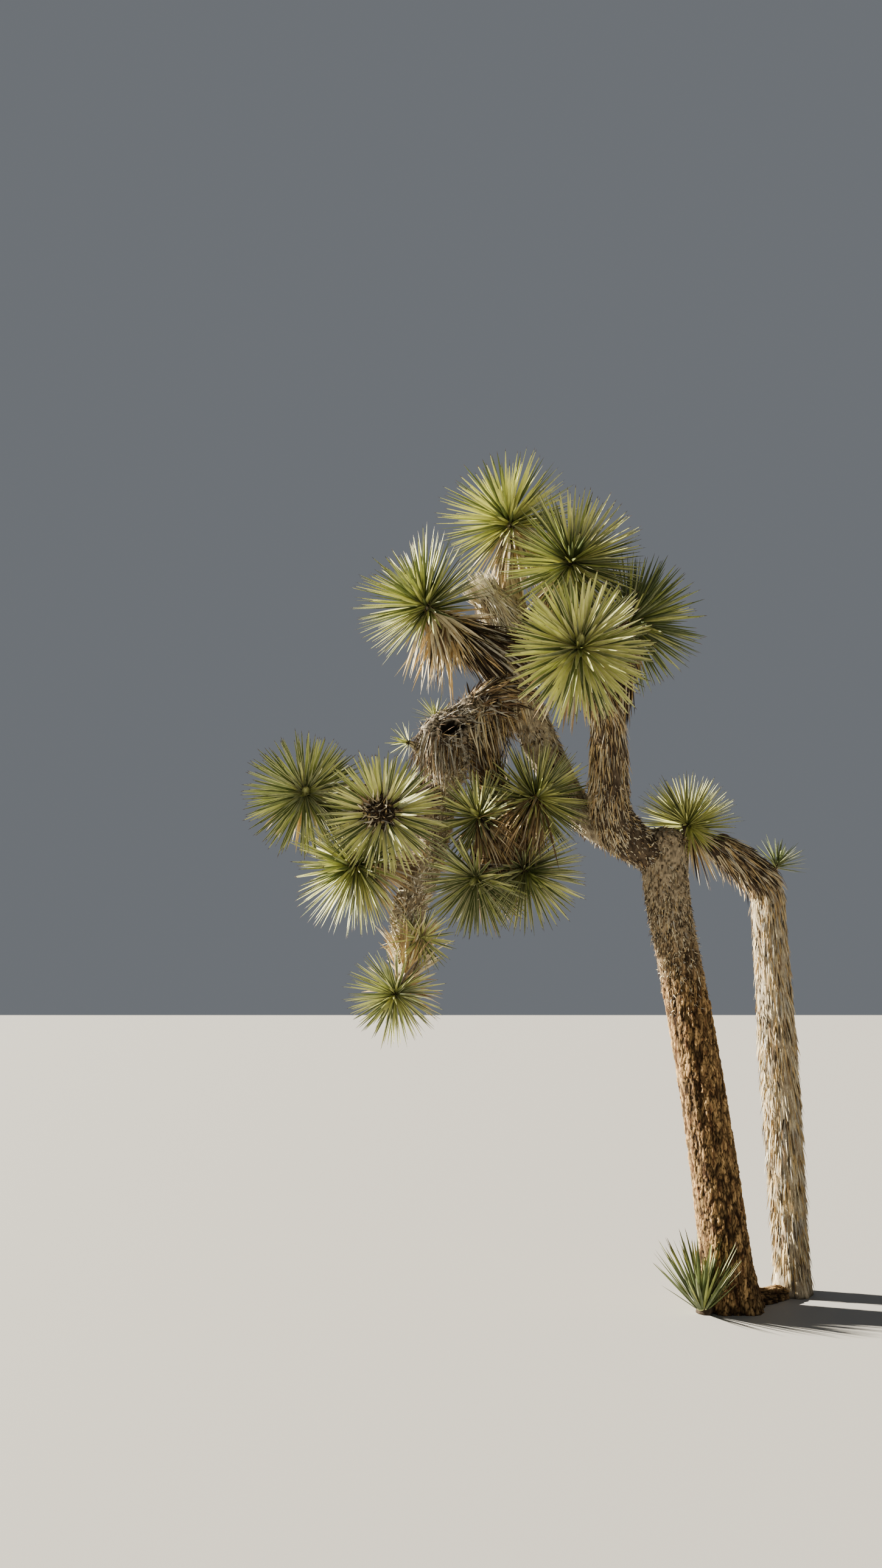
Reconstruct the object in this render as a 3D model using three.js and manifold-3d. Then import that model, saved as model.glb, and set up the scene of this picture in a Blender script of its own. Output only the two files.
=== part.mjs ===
// A joshua tree about 4.4 m tall: a leaning trunk with root flare, a slimmer second stem from
// the same root, shaggy boughs, rosettes of dagger leaves and skirts of dead leaves.
// Millimetres, +Z up. The origin is the middle of the trunk's flat cut at ground level,
// and -Y is the side that the tree is mostly seen from.
import * as THREE from "three";
import { mergeVertices } from "three/addons/utils/BufferGeometryUtils.js";
import Module from "manifold-3d";

const wasm = await Module();
wasm.setup();

// Driving sizes
const CLEARANCE = 0.3; // gap that each piece keeps to what carries it
const SEAT = 25; // how far a piece starts inside its carrier before it is cut clear
const LIMB_SIDES = 10;
const LIMB_STEP = 190; // length of one ring of a limb
const GOLDEN_ANGLE = Math.PI * (3 - Math.sqrt(5));

const TRUNK_FLARE = 26; // how much the trunk's foot widens at ground level
const STEM_FLARE = 20;
const FLARE_HEIGHT = 110;
const FLARE_LOBES = 5;
const FLARE_LOBE_DEPTH = 0.07;
const TRUNK_RIDGES = 12; // upright ridges of bark round the trunk
const TRUNK_RIDGE = 2; // how far a ridge stands out from the trunk's mean radius
const TRUNK_SIDES = 2 * TRUNK_RIDGES;
const BURIED = 80; // the limbs start this far below ground and are cut off level with it

const LEAF_WIDEST = 0.36; // share of a leaf's length at which it is widest
const LEAF_SLENDERNESS = 8.2; // leaf length over leaf width
const LEAF_FLATNESS = 4.2; // leaf width over leaf thickness
const LEAF_MARGIN = 0.8; // leaves stay this clear of every other piece
const SHORTER = [1, 0.82, 0.64]; // lengths that a crowded leaf tries before it is left out
const COLLAR = 0.42; // leaf-bearing stretch of a stem, as a share of its leaves' length
const LEAF_ROOTS = [0.15, 0.95]; // from the bud, the part of that stretch where leaves start
const LEAFY_STEM = 0.13; // radius of that stretch, as a share of the same length
const BUD_RADIUS = 0.55; // radius at the bud, as a share of the stem's
const FIRST_LEAN = 8; // degrees by which the innermost leaves lean out from the bud's direction
const LAST_LEAN = 112; // and the outermost, which turn back along the stem
const YOUNG_LEAF = 0.63; // length of the innermost leaves, as a share of the rosette's
const FULL_GROWN = 0.2; // share of the leaves, counted from the bud, that are still shorter
const UNEVEN_LEAN = 0.06; // chance part of a leaf's lean and turn, in radians
const UNEVEN_TURN = 0.1;
const UNEVEN_LENGTH = [0.94, 1.06];
const DRY_LENGTH = [0.75, 1.15]; // dead leaves differ more in length and spread
const DRY_SPREAD = [0.7, 1.3];
const STEM_SIDES = 6;
const SKIRT_SIDES = 8;
const SKIRT_ROOT = 0.66; // how far out a dead leaf starts, as a share of its stem's radius
const DOME = 0.62; // radius of a rounded end, as a share of the limb's own
const FLOWER_SPIKES = 6;
const FLOWER_SPIKE = [2, 0.6]; // a spike's length and width, as shares of the cluster's radius
const ROSETTE_SEED = 101;
const SKIRT_SEED = 31;

// Places where limbs meet or end
const GROUND = [0, 0, 0];
const SHOULDER = [-288, -92, 2308];
const FRONT_ELBOW = [-548, -150, 2385];
const FRONT_TIP = [-655, -385, 3045];
const REAR_TIP = [-431, -60, 3250];
const BACK_ELBOW = [-716, 80, 2469];
const JUNCTION = [-1012, 50, 3125];
const SUMMIT_TIP = [-1048, 118, 3790];
const UPPER_FRONT_TIP = [-790, -100, 3605];
const LEFT_HIGH_TIP = [-1345, -76, 3368];
const LEFT_HIGH_NECK = [-1436, -116, 3416];
const BROKEN_TIP = [-1190, 20, 3616];
const OLD_NECK = [-1230, -26, 2900];
const OLD_HEAD = [-1492, -152, 2714];
const HANGING_KNEE = [-1496, 0, 2074];
const HANGING_TIP = [-1560, -86, 1640];
const HANGING_NECK = [-1584, -124, 1556];
const DROOPING_KNEE = [-1074, 60, 2379];
const DROOPING_NECK = [-1068, 54, 2290];
const DROOPING_TIP = [-1086, 30, 2100];
const FAR_LEFT_TIP = [-1935, 10, 2508];
const LEFT_LOW_TIP = [-1650, -66, 2128];
const SECOND_FOOT = [365, 240, 0];
const SECOND_ELBOW = [298, 130, 2075];
const SECOND_ARM_TIP = [4, 58, 2256];

// Finishes
const finish = (colour, roughness) =>
  new THREE.MeshStandardMaterial({ color: colour, roughness, metalness: 0 });
const BARK = finish(0x6b4a33, 0.95);
const SHAGGY = finish(0x8d7a5f, 0.95);
const PALE = finish(0xb8a987, 0.95);
const LEAF_GREEN = finish(0x8a9350, 0.6);
const DEAD_LEAF = finish(0xb79a68, 0.85);

const tree = new THREE.Group();
const limbs = new Map(); // the description of each limb or stem by its piece's name
const pieces = new Map(); // each piece's solid and box by its name, for leaves to keep clear of

const vector = (p) => new THREE.Vector3(...p);

// A seeded generator of numbers from 0 to 1
function generator(seed) {
  let state = seed >>> 0;
  return () => {
    state = (state + 0x6d2b79f5) >>> 0;
    let t = state;
    t = Math.imul(t ^ (t >>> 15), t | 1);
    t ^= t + Math.imul(t ^ (t >>> 7), t | 61);
    return ((t ^ (t >>> 14)) >>> 0) / 4294967296;
  };
}

const between = (random, [low, high]) => THREE.MathUtils.lerp(low, high, random());

function solidOf(geometry) {
  const bare = geometry.clone();
  bare.deleteAttribute("normal");
  bare.deleteAttribute("uv");
  const merged = mergeVertices(bare, 1e-3);
  return new wasm.Manifold(
    new wasm.Mesh({
      numProp: 3,
      vertProperties: merged.attributes.position.array,
      triVerts: new Uint32Array(merged.index.array),
    }),
  );
}

function geometryOf(solid) {
  const mesh = solid.getMesh();
  const geometry = new THREE.BufferGeometry();
  geometry.setAttribute("position", new THREE.BufferAttribute(mesh.vertProperties, 3));
  geometry.setIndex(new THREE.BufferAttribute(mesh.triVerts, 1));
  geometry.computeVertexNormals();
  return geometry;
}

// The largest body of a solid that a cut may have left in several
function largestBody(solid) {
  const bodies = solid.decompose();
  return bodies.reduce((a, b) => (b.volume() > a.volume() ? b : a));
}

function keep(name, solid) {
  const whole = largestBody(solid);
  const { min, max } = whole.boundingBox();
  pieces.set(name, { solid: whole, box: new THREE.Box3(vector(min), vector(max)) });
  return whole;
}

function addPiece(name, solid, material) {
  const mesh = new THREE.Mesh(geometryOf(keep(name, solid)), material);
  mesh.name = name;
  tree.add(mesh);
}

// A tube of round section along a smooth curve: a cylinder's rings carried along it. A domed
// tube narrows over a last, short ring.
function tube(points, radiusAt, sides, domed) {
  const curve = new THREE.CatmullRomCurve3(points, false, "centripetal");
  const length = curve.getLength();
  const steps = Math.max(3, Math.round(length / LIMB_STEP));
  const frames = curve.computeFrenetFrames(steps, false);
  const geometry = new THREE.CylinderGeometry(1, 1, 1, sides, steps);
  const position = geometry.attributes.position;
  for (let i = 0; i < position.count; i++) {
    const ring = Math.round((position.getY(i) + 0.5) * steps);
    const brow = 1 - (DOME * radiusAt(1, points.at(-1), 0)) / length;
    const share = domed && ring === steps - 1 ? brow : ring / steps;
    const centre = curve.getPointAt(share);
    const turn = Math.atan2(position.getZ(i), position.getX(i));
    const radius = radiusAt(share, centre, turn) * (domed && ring === steps ? DOME : 1);
    centre.addScaledVector(frames.normals[ring], position.getX(i) * radius);
    centre.addScaledVector(frames.binormals[ring], -position.getZ(i) * radius);
    position.setXYZ(i, centre.x, centre.y, centre.z);
  }
  return solidOf(geometry);
}

// A limb's centre line: through the places it is led by, or bowed sideways at the middle
function centreLine({ from, to, bow = [0, 0, 0], via }) {
  const start = vector(from);
  const end = vector(to);
  if (via) return [start, ...via.map(vector), end];
  return [start, start.clone().lerp(end, 0.5).add(vector(bow)), end];
}

// The limb's solid, grown by a few tenths where a neighbour is cut clear of it
function limbSolid(limb, grow = 0) {
  const { radii, flare = 0, ridge = 0, seat = SEAT, sides = LIMB_SIDES, domed } = limb;
  const points = centreLine(limb);
  const backwards = points[0].clone().sub(points[1]).normalize();
  const onwards = points.at(-1).clone().sub(points.at(-2)).normalize();
  points[0].addScaledVector(backwards, grow + seat);
  points.at(-1).addScaledVector(onwards, grow);
  const [foot, waist, tip] = radii;
  const radiusAt = (share, centre, turn) => {
    const plain =
      share < 0.5
        ? THREE.MathUtils.lerp(foot, waist, share * 2)
        : THREE.MathUtils.lerp(waist, tip, share * 2 - 1);
    const low = flare ? Math.exp(-Math.max(centre.z, 0) / FLARE_HEIGHT) : 0;
    const lobes = 1 + FLARE_LOBE_DEPTH * low * Math.cos(FLARE_LOBES * turn);
    return (plain + flare * low) * lobes + ridge * Math.cos(TRUNK_RIDGES * turn) + grow;
  };
  return tube(points, radiusAt, sides, domed);
}

const earth = new THREE.BoxGeometry(4000, 4000, 400);
earth.translate(0, 0, -200);
const belowGround = solidOf(earth);

// The solid with room cut in it for the limbs that carry it, and for the ground
function cutClear(solid, { on = [], grounded }) {
  let clear = grounded ? solid.subtract(belowGround) : solid;
  for (const carrier of on) {
    clear = clear.subtract(limbSolid(limbs.get(carrier), CLEARANCE));
  }
  return clear;
}

// A dagger leaf, three-sided: flat towards the bud and keeled behind, drawn out from a root to
// its widest place and on to a sharp tip
function leaf(root, along, across, length, width) {
  const profile = [[0, 0], [1, LEAF_WIDEST], [0, 1]].map(([x, y]) => new THREE.Vector2(x, y));
  const geometry = new THREE.LatheGeometry(profile, 3, Math.PI);
  const inwards = across.clone().cross(along);
  const halfWidth = width / 2 / Math.sin(Math.PI / 3);
  const depth = width / LEAF_FLATNESS / 1.5;
  const position = geometry.attributes.position;
  for (let i = 0; i < position.count; i++) {
    const point = root.clone().addScaledVector(along, length * position.getY(i));
    point.addScaledVector(across, position.getX(i) * halfWidth);
    point.addScaledVector(inwards, position.getZ(i) * depth);
    position.setXYZ(i, point.x, point.y, point.z);
  }
  return solidOf(geometry);
}

// Whether a solid meets any of the named pieces
function meets(solid, names) {
  const { min, max } = solid.boundingBox();
  const box = new THREE.Box3(vector(min), vector(max));
  return names.some((name) => {
    const piece = pieces.get(name);
    return piece.box.intersectsBox(box) && !solid.intersect(piece.solid).isEmpty();
  });
}

// The solid with one more leaf, where that leaf, drawn slightly larger, meets no other piece.
// The stem's own carriers and the ground count only past the part that is sunk in the stem.
function withLeaf(owner, solid, root, along, across, length, sunk) {
  const width = length / LEAF_SLENDERNESS;
  const outside = root.clone().addScaledVector(along, sunk);
  const carriers = limbs.get(owner).on ?? [];
  const others = [...pieces.keys()].filter((name) => name !== owner && !carriers.includes(name));
  const larger = (from, reach) =>
    leaf(from, along, across, reach + LEAF_MARGIN, width + 2 * LEAF_MARGIN);
  const fits = SHORTER.find((share) => {
    const outer = larger(outside, length * share - sunk);
    const aloft = outer.boundingBox().min[2] > LEAF_MARGIN;
    return aloft && !meets(outer, carriers) && !meets(larger(root, length * share), others);
  });
  return fits ? solid.add(leaf(root, along, across, length * fits, width)) : solid;
}

// Two directions square to an axis and to each other
function crossways(axis) {
  const pole = Math.abs(axis.z) > 0.9 ? new THREE.Vector3(1, 0, 0) : new THREE.Vector3(0, 0, 1);
  const side = pole.cross(axis).normalize();
  return [side, axis.clone().cross(side)];
}

function outwards([side, above], turn) {
  return side.clone().multiplyScalar(Math.cos(turn)).addScaledVector(above, Math.sin(turn));
}

// The stem of a rosette: from the limb that carries it, turning to the way that the bud faces
function rosetteStem(plant) {
  const { bud, facing, length, foot, short } = plant;
  const axis = vector(facing).normalize();
  const radius = length * LEAFY_STEM;
  const neck = vector(bud).addScaledVector(axis, -length * COLLAR).toArray();
  const radii = [foot ?? radius, radius, radius * BUD_RADIUS];
  return { ...plant, to: bud, via: short ? undefined : [neck], radii, sides: STEM_SIDES };
}

// Leaves set round a stem by the golden angle, from the bud down to the lowest ring, each
// leaning further from the bud's direction than the one before
function leafyRosette(name, plant, bare) {
  const { bud, facing, leaves, length, seed, lowest = LAST_LEAN, droop = 0.1, flowers } = plant;
  const axis = vector(facing).normalize();
  const tip = vector(bud);
  const collar = length * COLLAR;
  const random = generator(seed);
  const square = crossways(axis);
  const top = Math.cos(THREE.MathUtils.degToRad(FIRST_LEAN));
  const bottom = Math.cos(THREE.MathUtils.degToRad(lowest));
  let solid = flowers ? bare.add(flowerCluster(tip, axis, flowers, random)) : bare;
  for (let i = 0; i < leaves; i++) {
    const share = (i + 0.5) / leaves;
    const level = THREE.MathUtils.lerp(top, bottom, share);
    const lean = Math.acos(level) + between(random, [-UNEVEN_LEAN, UNEVEN_LEAN]);
    const turn = i * GOLDEN_ANGLE + between(random, [-UNEVEN_TURN, UNEVEN_TURN]);
    const out = outwards(square, turn);
    const along = axis.clone().multiplyScalar(Math.cos(lean));
    along.addScaledVector(out, Math.sin(lean));
    along.z -= droop * share;
    along.normalize();
    const across = along.clone().cross(axis).normalize();
    const grown = THREE.MathUtils.smoothstep(share, 0, FULL_GROWN);
    const age = THREE.MathUtils.lerp(YOUNG_LEAF, 1, grown);
    const reach = length * age * between(random, UNEVEN_LENGTH);
    const root = tip.clone();
    root.addScaledVector(axis, -collar * THREE.MathUtils.lerp(...LEAF_ROOTS, share));
    solid = withLeaf(name, solid, root, along, across, reach, length * LEAFY_STEM);
  }
  return solid;
}

// The dried flower cluster in the middle of a rosette: a lump with short spikes
function flowerCluster(tip, axis, size, random) {
  const lump = new THREE.IcosahedronGeometry(size, 0);
  lump.translate(tip.x, tip.y, tip.z);
  let cluster = solidOf(lump);
  const square = crossways(axis);
  const [long, wide] = FLOWER_SPIKE;
  for (let i = 0; i < FLOWER_SPIKES; i++) {
    const along = axis.clone().addScaledVector(outwards(square, i * GOLDEN_ANGLE), random());
    along.normalize();
    const across = along.clone().cross(axis).normalize();
    cluster = cluster.add(leaf(tip.clone(), along, across, size * long, size * wide));
  }
  return cluster;
}

// Dead leaves round a short stem, swept towards one direction
function leafySkirt(name, skirt, bare) {
  const { from, to, radii, leaves, length, sweep, spread, seed, domed } = skirt;
  const random = generator(seed);
  const start = vector(from);
  const end = vector(to);
  const square = crossways(end.clone().sub(start).normalize());
  const pull = vector(sweep).normalize();
  const radius = Math.min(...radii) * (domed ? DOME : 1);
  let solid = bare;
  for (let i = 0; i < leaves; i++) {
    const out = outwards(square, i * GOLDEN_ANGLE);
    const along = pull.clone().addScaledVector(out, spread * between(random, DRY_SPREAD));
    along.normalize();
    const across = along.clone().cross(out).normalize();
    const reach = length * between(random, DRY_LENGTH);
    const root = start.clone().lerp(end, THREE.MathUtils.lerp(0.1, 0.9, (i + 0.5) / leaves));
    root.addScaledVector(out, radius * SKIRT_ROOT);
    solid = withLeaf(name, solid, root, along, across, reach, radius);
  }
  return solid;
}

// Trunk, second stem, the root that joins them, and the boughs
const limbTable = {
  trunk: {
    from: GROUND, via: [[-87, -20, 802], [-152, -40, 1286], [-212, -60, 1640], [-262, -76, 1940]],
    to: SHOULDER, seat: BURIED, radii: [127, 105, 113], flare: TRUNK_FLARE, sides: TRUNK_SIDES,
    ridge: TRUNK_RIDGE, grounded: true, domed: true, finish: BARK,
  },
  second_stem: {
    from: SECOND_FOOT, via: [[346, 210, 772], [327, 185, 1274], [306, 155, 1800]],
    to: SECOND_ELBOW, seat: BURIED, radii: [76, 100, 82], flare: STEM_FLARE, grounded: true,
    finish: PALE,
  },
  root_ridge: {
    from: [96, 62, 6], to: [310, 205, 6], bow: [0, -18, 0], radii: [62, 52, 50],
    grounded: true, on: ["trunk", "second_stem"], finish: BARK,
  },
  second_stem_arm: {
    from: [284, 130, 2054], to: SECOND_ARM_TIP, bow: [6, 0, 10], radii: [86, 84, 62],
    on: ["second_stem"], finish: SHAGGY,
  },
  front_bough_lower: {
    from: [-368, -100, 2190], to: FRONT_ELBOW, bow: [-14, 0, -22], radii: [112, 110, 104],
    on: ["trunk"], finish: SHAGGY,
  },
  front_bough_upper: {
    from: FRONT_ELBOW, via: [[-560, -190, 2617], [-573, -256, 2840]], to: FRONT_TIP,
    radii: [104, 100, 62], on: ["front_bough_lower"], finish: SHAGGY,
  },
  rear_bough: {
    from: [-540, -190, 2850], to: REAR_TIP, bow: [4, 10, -6], radii: [70, 66, 54],
    on: ["front_bough_upper"], finish: SHAGGY,
  },
  back_bough_lower: {
    from: [-430, -20, 2245], to: BACK_ELBOW, bow: [-6, 28, -20], radii: [96, 92, 90],
    on: ["trunk", "front_bough_lower"], finish: SHAGGY,
  },
  back_bough_upper: {
    from: BACK_ELBOW, to: JUNCTION, bow: [-14, 10, -8], radii: [90, 96, 94],
    on: ["back_bough_lower"], finish: SHAGGY,
  },
  crown_bough: {
    from: JUNCTION, via: [[-998, 80, 3385]], to: SUMMIT_TIP, radii: [90, 78, 56],
    on: ["back_bough_upper"], finish: PALE,
  },
  upper_front_bough: {
    from: [-975, 60, 3370], to: UPPER_FRONT_TIP, bow: [18, 0, -12], radii: [66, 60, 50],
    on: ["crown_bough"], finish: SHAGGY,
  },
  left_high_bough: {
    from: [-1034, 50, 3246], to: LEFT_HIGH_TIP, bow: [-4, -6, -8], radii: [118, 88, 52],
    on: ["crown_bough"], finish: SHAGGY,
  },
  broken_bough: {
    from: [-1010, 68, 3380], to: BROKEN_TIP, radii: [86, 84, 80], domed: true,
    on: ["crown_bough", "left_high_bough", "upper_front_bough"], finish: PALE,
  },
  old_bough: {
    from: [-1048, 30, 3066], to: OLD_NECK, bow: [-10, 0, 8], radii: [94, 97, 102],
    on: ["back_bough_upper", "crown_bough", "left_high_bough"], finish: SHAGGY,
  },
  hanging_bough_upper: {
    from: [-1330, -42, 2690], via: [[-1391, -40, 2476], [-1436, -4, 2277]], to: HANGING_KNEE,
    radii: [80, 76, 78], on: ["old_head"], finish: PALE,
  },
  hanging_bough_lower: {
    from: HANGING_KNEE, via: [[-1566, -20, 1918], [-1578, -50, 1779]], to: HANGING_TIP,
    radii: [78, 76, 48], on: ["hanging_bough_upper"], finish: PALE,
  },
  drooping_bough_upper: {
    from: [-1200, 10, 2810], to: DROOPING_KNEE, bow: [0, 14, 0], radii: [76, 66, 62],
    on: ["old_bough", "old_head"], finish: SHAGGY,
  },
  drooping_bough_lower: {
    from: DROOPING_NECK, to: DROOPING_TIP, bow: [4, 0, 0], radii: [58, 56, 50],
    on: ["skirt_drooping"], finish: SHAGGY,
  },
  far_left_bough: {
    from: [-1420, 6, 2545], to: FAR_LEFT_TIP, bow: [0, 34, 0], radii: [58, 50, 42],
    on: ["hanging_bough_upper", "old_head"], finish: SHAGGY,
  },
  left_low_bough: {
    from: [-1490, -14, 2154], to: LEFT_LOW_TIP, radii: [48, 43, 40],
    on: ["hanging_bough_upper", "hanging_bough_lower"], finish: PALE,
  },
};

// Stretches of stem that carry dead leaves in place of living ones
const skirtTable = {
  old_head: {
    from: OLD_NECK, to: OLD_HEAD, radii: [112, 124, 100], leaves: 16, length: 270,
    sweep: [-0.15, -0.1, -1], spread: 0.5, domed: true, on: ["old_bough"],
  },
  skirt_left_high: {
    from: LEFT_HIGH_TIP, to: LEFT_HIGH_NECK, radii: [50, 50, 46], leaves: 18, length: 330,
    sweep: [0.12, -0.12, -1], spread: 0.7, on: ["left_high_bough"],
  },
  skirt_hanging: {
    from: HANGING_TIP, to: HANGING_NECK, radii: [48, 46, 42], leaves: 14, length: 220,
    sweep: [0.1, 0, 1], spread: 0.75, on: ["hanging_bough_lower"],
  },
  skirt_drooping: {
    from: DROOPING_KNEE, to: DROOPING_NECK, radii: [60, 62, 60], leaves: 16, length: 300,
    sweep: [0, -0.25, -1], spread: 0.75, on: ["drooping_bough_upper"],
  },
};

// Rosettes of living leaves, the nearest ones first
const rosetteTable = {
  rosette_great: {
    from: FRONT_TIP, bud: [-736, -548, 3141], facing: [-0.05, -0.9, 0.12], leaves: 42,
    length: 365, on: ["front_bough_upper"], droop: 0.16,
  },
  rosette_upper_front: {
    from: UPPER_FRONT_TIP, bud: [-724, -250, 3700], facing: [0.12, -0.72, 0.46], leaves: 40,
    length: 375, on: ["upper_front_bough"],
  },
  rosette_summit: {
    from: SUMMIT_TIP, bud: [-1052, 96, 4075], facing: [-0.36, -0.08, 0.9], leaves: 42,
    length: 385, on: ["crown_bough"],
  },
  rosette_rear: {
    from: REAR_TIP, bud: [-356, 14, 3440], facing: [0.66, 0.36, 0.42], leaves: 40,
    length: 370, on: ["rear_bough"],
  },
  rosette_left_high: {
    from: LEFT_HIGH_NECK, bud: [-1516, -200, 3500], facing: [-0.55, -0.4, 0.72], leaves: 38,
    length: 368, lowest: 95, on: ["skirt_left_high"],
  },
  rosette_flowered: {
    from: [-1432, -82, 2500], bud: [-1690, -370, 2352], facing: [-0.15, -0.97, 0.02],
    leaves: 32, length: 315, on: ["hanging_bough_upper", "far_left_bough"], flowers: 70,
  },
  rosette_far_left: {
    from: FAR_LEFT_TIP, bud: [-2075, -220, 2476], facing: [0.14, -0.95, 0.06], leaves: 34,
    length: 312, on: ["far_left_bough"],
  },
  rosette_left_low: {
    from: LEFT_LOW_TIP, bud: [-1875, -170, 2108], facing: [-0.88, -0.42, -0.06], leaves: 34,
    length: 330, on: ["left_low_bough"], droop: 0.3,
  },
  rosette_middle_right: {
    from: [-1064, 20, 2420], bud: [-900, -150, 2478], facing: [0.5, -0.72, 0.38], leaves: 32,
    length: 295, on: ["drooping_bough_upper", "skirt_drooping"],
  },
  rosette_middle_left: {
    from: [-1118, 10, 2465], bud: [-1222, -150, 2370], facing: [-0.35, -0.85, 0.22],
    leaves: 28, length: 250, on: ["drooping_bough_upper", "skirt_drooping"],
  },
  rosette_lower_right: {
    from: [-1064, 16, 2146], bud: [-954, -140, 2062], facing: [0.56, -0.6, -0.42], leaves: 32,
    length: 300, on: ["drooping_bough_lower"], droop: 0.2,
  },
  rosette_lower_middle: {
    from: DROOPING_TIP, bud: [-1234, -160, 2045], facing: [-0.25, -0.88, -0.28], leaves: 32,
    length: 295, on: ["drooping_bough_lower"], droop: 0.16,
  },
  rosette_second_stem: {
    from: SECOND_ARM_TIP, bud: [-152, -24, 2370], facing: [-0.4, -0.52, 0.72], leaves: 32,
    length: 268, lowest: 108, on: ["second_stem_arm"],
  },
  rosette_hanging: {
    from: HANGING_NECK, bud: [-1640, -205, 1462], facing: [-0.4, -0.6, -0.62], leaves: 30,
    length: 245, on: ["skirt_hanging"],
  },
  sprig_hanging: {
    from: [-1572, -50, 1752], bud: [-1490, -150, 1758], facing: [0.4, -0.85, 0.05], leaves: 16,
    length: 180, on: ["hanging_bough_lower"],
  },
  sprig_second_stem: {
    from: [318, 118, 2098], bud: [354, 102, 2172], facing: [0.3, -0.12, 0.93], leaves: 14,
    length: 158, lowest: 84, short: true, on: ["second_stem", "second_stem_arm"],
  },
  sprig_old_head_top: {
    from: [-1424, -96, 2820], bud: [-1434, -92, 2906], facing: [-0.1, -0.2, 0.96], leaves: 10,
    length: 128, lowest: 80, short: true, on: ["old_head"],
  },
  sprig_old_head_side: {
    from: [-1500, -136, 2722], bud: [-1602, -142, 2750], facing: [-0.9, -0.3, 0.15],
    leaves: 9, length: 112, lowest: 84, short: true, on: ["old_head"],
  },
  sprout_base: {
    from: [-144, -90, 0], bud: [-174, -112, 86], facing: [-0.14, -0.22, 0.96], leaves: 18,
    length: 330, foot: 30, lowest: 58, short: true, grounded: true, on: ["trunk"], droop: 0,
  },
};

// Every limb and stem is described before any is cut clear of another, and every one stands
// before the first leaf is set
const stems = { ...limbTable };
for (const [name, skirt] of Object.entries(skirtTable)) {
  stems[name] = { ...skirt, sides: SKIRT_SIDES };
}
for (const [name, plant] of Object.entries(rosetteTable)) stems[name] = rosetteStem(plant);
for (const [name, stem] of Object.entries(stems)) limbs.set(name, stem);
for (const [name, stem] of limbs) keep(name, cutClear(limbSolid(stem), stem));

for (const [name, limb] of Object.entries(limbTable)) {
  addPiece(name, pieces.get(name).solid, limb.finish);
}
Object.entries(skirtTable).forEach(([name, skirt], i) => {
  const seeded = { ...skirt, seed: SKIRT_SEED + i };
  addPiece(name, cutClear(leafySkirt(name, seeded, pieces.get(name).solid), skirt), DEAD_LEAF);
});
Object.entries(rosetteTable).forEach(([name, plant], i) => {
  const seeded = { ...plant, seed: ROSETTE_SEED + i };
  addPiece(name, cutClear(leafyRosette(name, seeded, pieces.get(name).solid), plant), LEAF_GREEN);
});

export default tree;
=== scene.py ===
"""A joshua tree, dressed for its photograph.

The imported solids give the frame: where each limb runs and each head of leaves sits. Here every
one of them is replaced by finer pieces that keep its place and reach. Limbs get a skin with
relief and a thatch of dead blades, heads get their full count of dagger leaves, and the dead
head, the skirts and the dried flowers get their own forms. Metres, +Z up. -Y is the side that
the photograph shows.
"""

import math

import bpy
import numpy as np
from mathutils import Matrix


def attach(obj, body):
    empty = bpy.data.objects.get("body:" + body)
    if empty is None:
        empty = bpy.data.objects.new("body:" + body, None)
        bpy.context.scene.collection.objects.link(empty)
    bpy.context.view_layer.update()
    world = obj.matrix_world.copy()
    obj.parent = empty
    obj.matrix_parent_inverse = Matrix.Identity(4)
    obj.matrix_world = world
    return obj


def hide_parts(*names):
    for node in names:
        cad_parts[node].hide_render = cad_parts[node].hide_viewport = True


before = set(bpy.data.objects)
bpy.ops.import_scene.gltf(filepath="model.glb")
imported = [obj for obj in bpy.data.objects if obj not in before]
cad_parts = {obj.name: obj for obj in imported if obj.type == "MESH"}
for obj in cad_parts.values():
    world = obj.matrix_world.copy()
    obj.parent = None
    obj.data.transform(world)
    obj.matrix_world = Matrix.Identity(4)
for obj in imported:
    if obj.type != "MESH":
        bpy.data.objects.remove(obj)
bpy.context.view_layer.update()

# Driving sizes, in metres where they are lengths
MM = 0.001
GOLDEN_ANGLE = math.pi * (3 - math.sqrt(5))
DOWN = np.array([0, 0, -1.0])

# Trunk
FLARE_HEIGHT = 0.11
FLARE_LOBES = 5
FLARE_LOBE_DEPTH = 0.07
TRUNK_RIDGES = 12
TRUNK_RIDGE = 0.002
CHIPS_ROUND = 62
CHIP_LENGTH = 0.036
FADE_RADIUS = 0.02  # radius below which a limb's relief fades out
FIBRE_LINE = (1.5, 1.85)  # distance up the trunk over which cork gives way to fibre

# Old head
HOLLOW = np.array([-1361, -195, 2812]) * MM
HOLLOW_RADIUS = 0.04
PLATES_ROUND = 24
PLATE_LENGTH = 0.025

# Heads of leaves
COLLAR = 0.3  # leaf-bearing stretch of a stem, as a share of its leaves' length
LEAFY_STEM = 0.13  # radius of that stretch, as a share of the same length
BUD_RADIUS = 0.45  # radius at the bud, as a share of the stem's
FIRST_LEAN = 13  # lean of the first leaves from the bud's direction, in degrees
LAST_LEAN = 112  # and of the lowest ones, where a head doesn't say
YOUNG_LEAF = 0.5  # length of the innermost leaves, as a share of the head's
FULL_GROWN = 0.18  # share of the leaves, counted from the bud, that are still shorter
LEAF_WIDTH = 0.052  # of a leaf's length, where a head doesn't say
LOWEST_ROOT = 0.014  # height of a leaf's root above the ground
LOWEST_TIP = 0.01  # height of a leaf's tip above the ground
LOWEST_BLADE = 0.002  # and of the tip of a thatch's blade
LIMB_ROOM = 0.004  # room between a living leaf and a limb that it passes
THATCH_DEPTH = 0.004  # depth of a thatch's roots under a limb's surface
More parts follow.
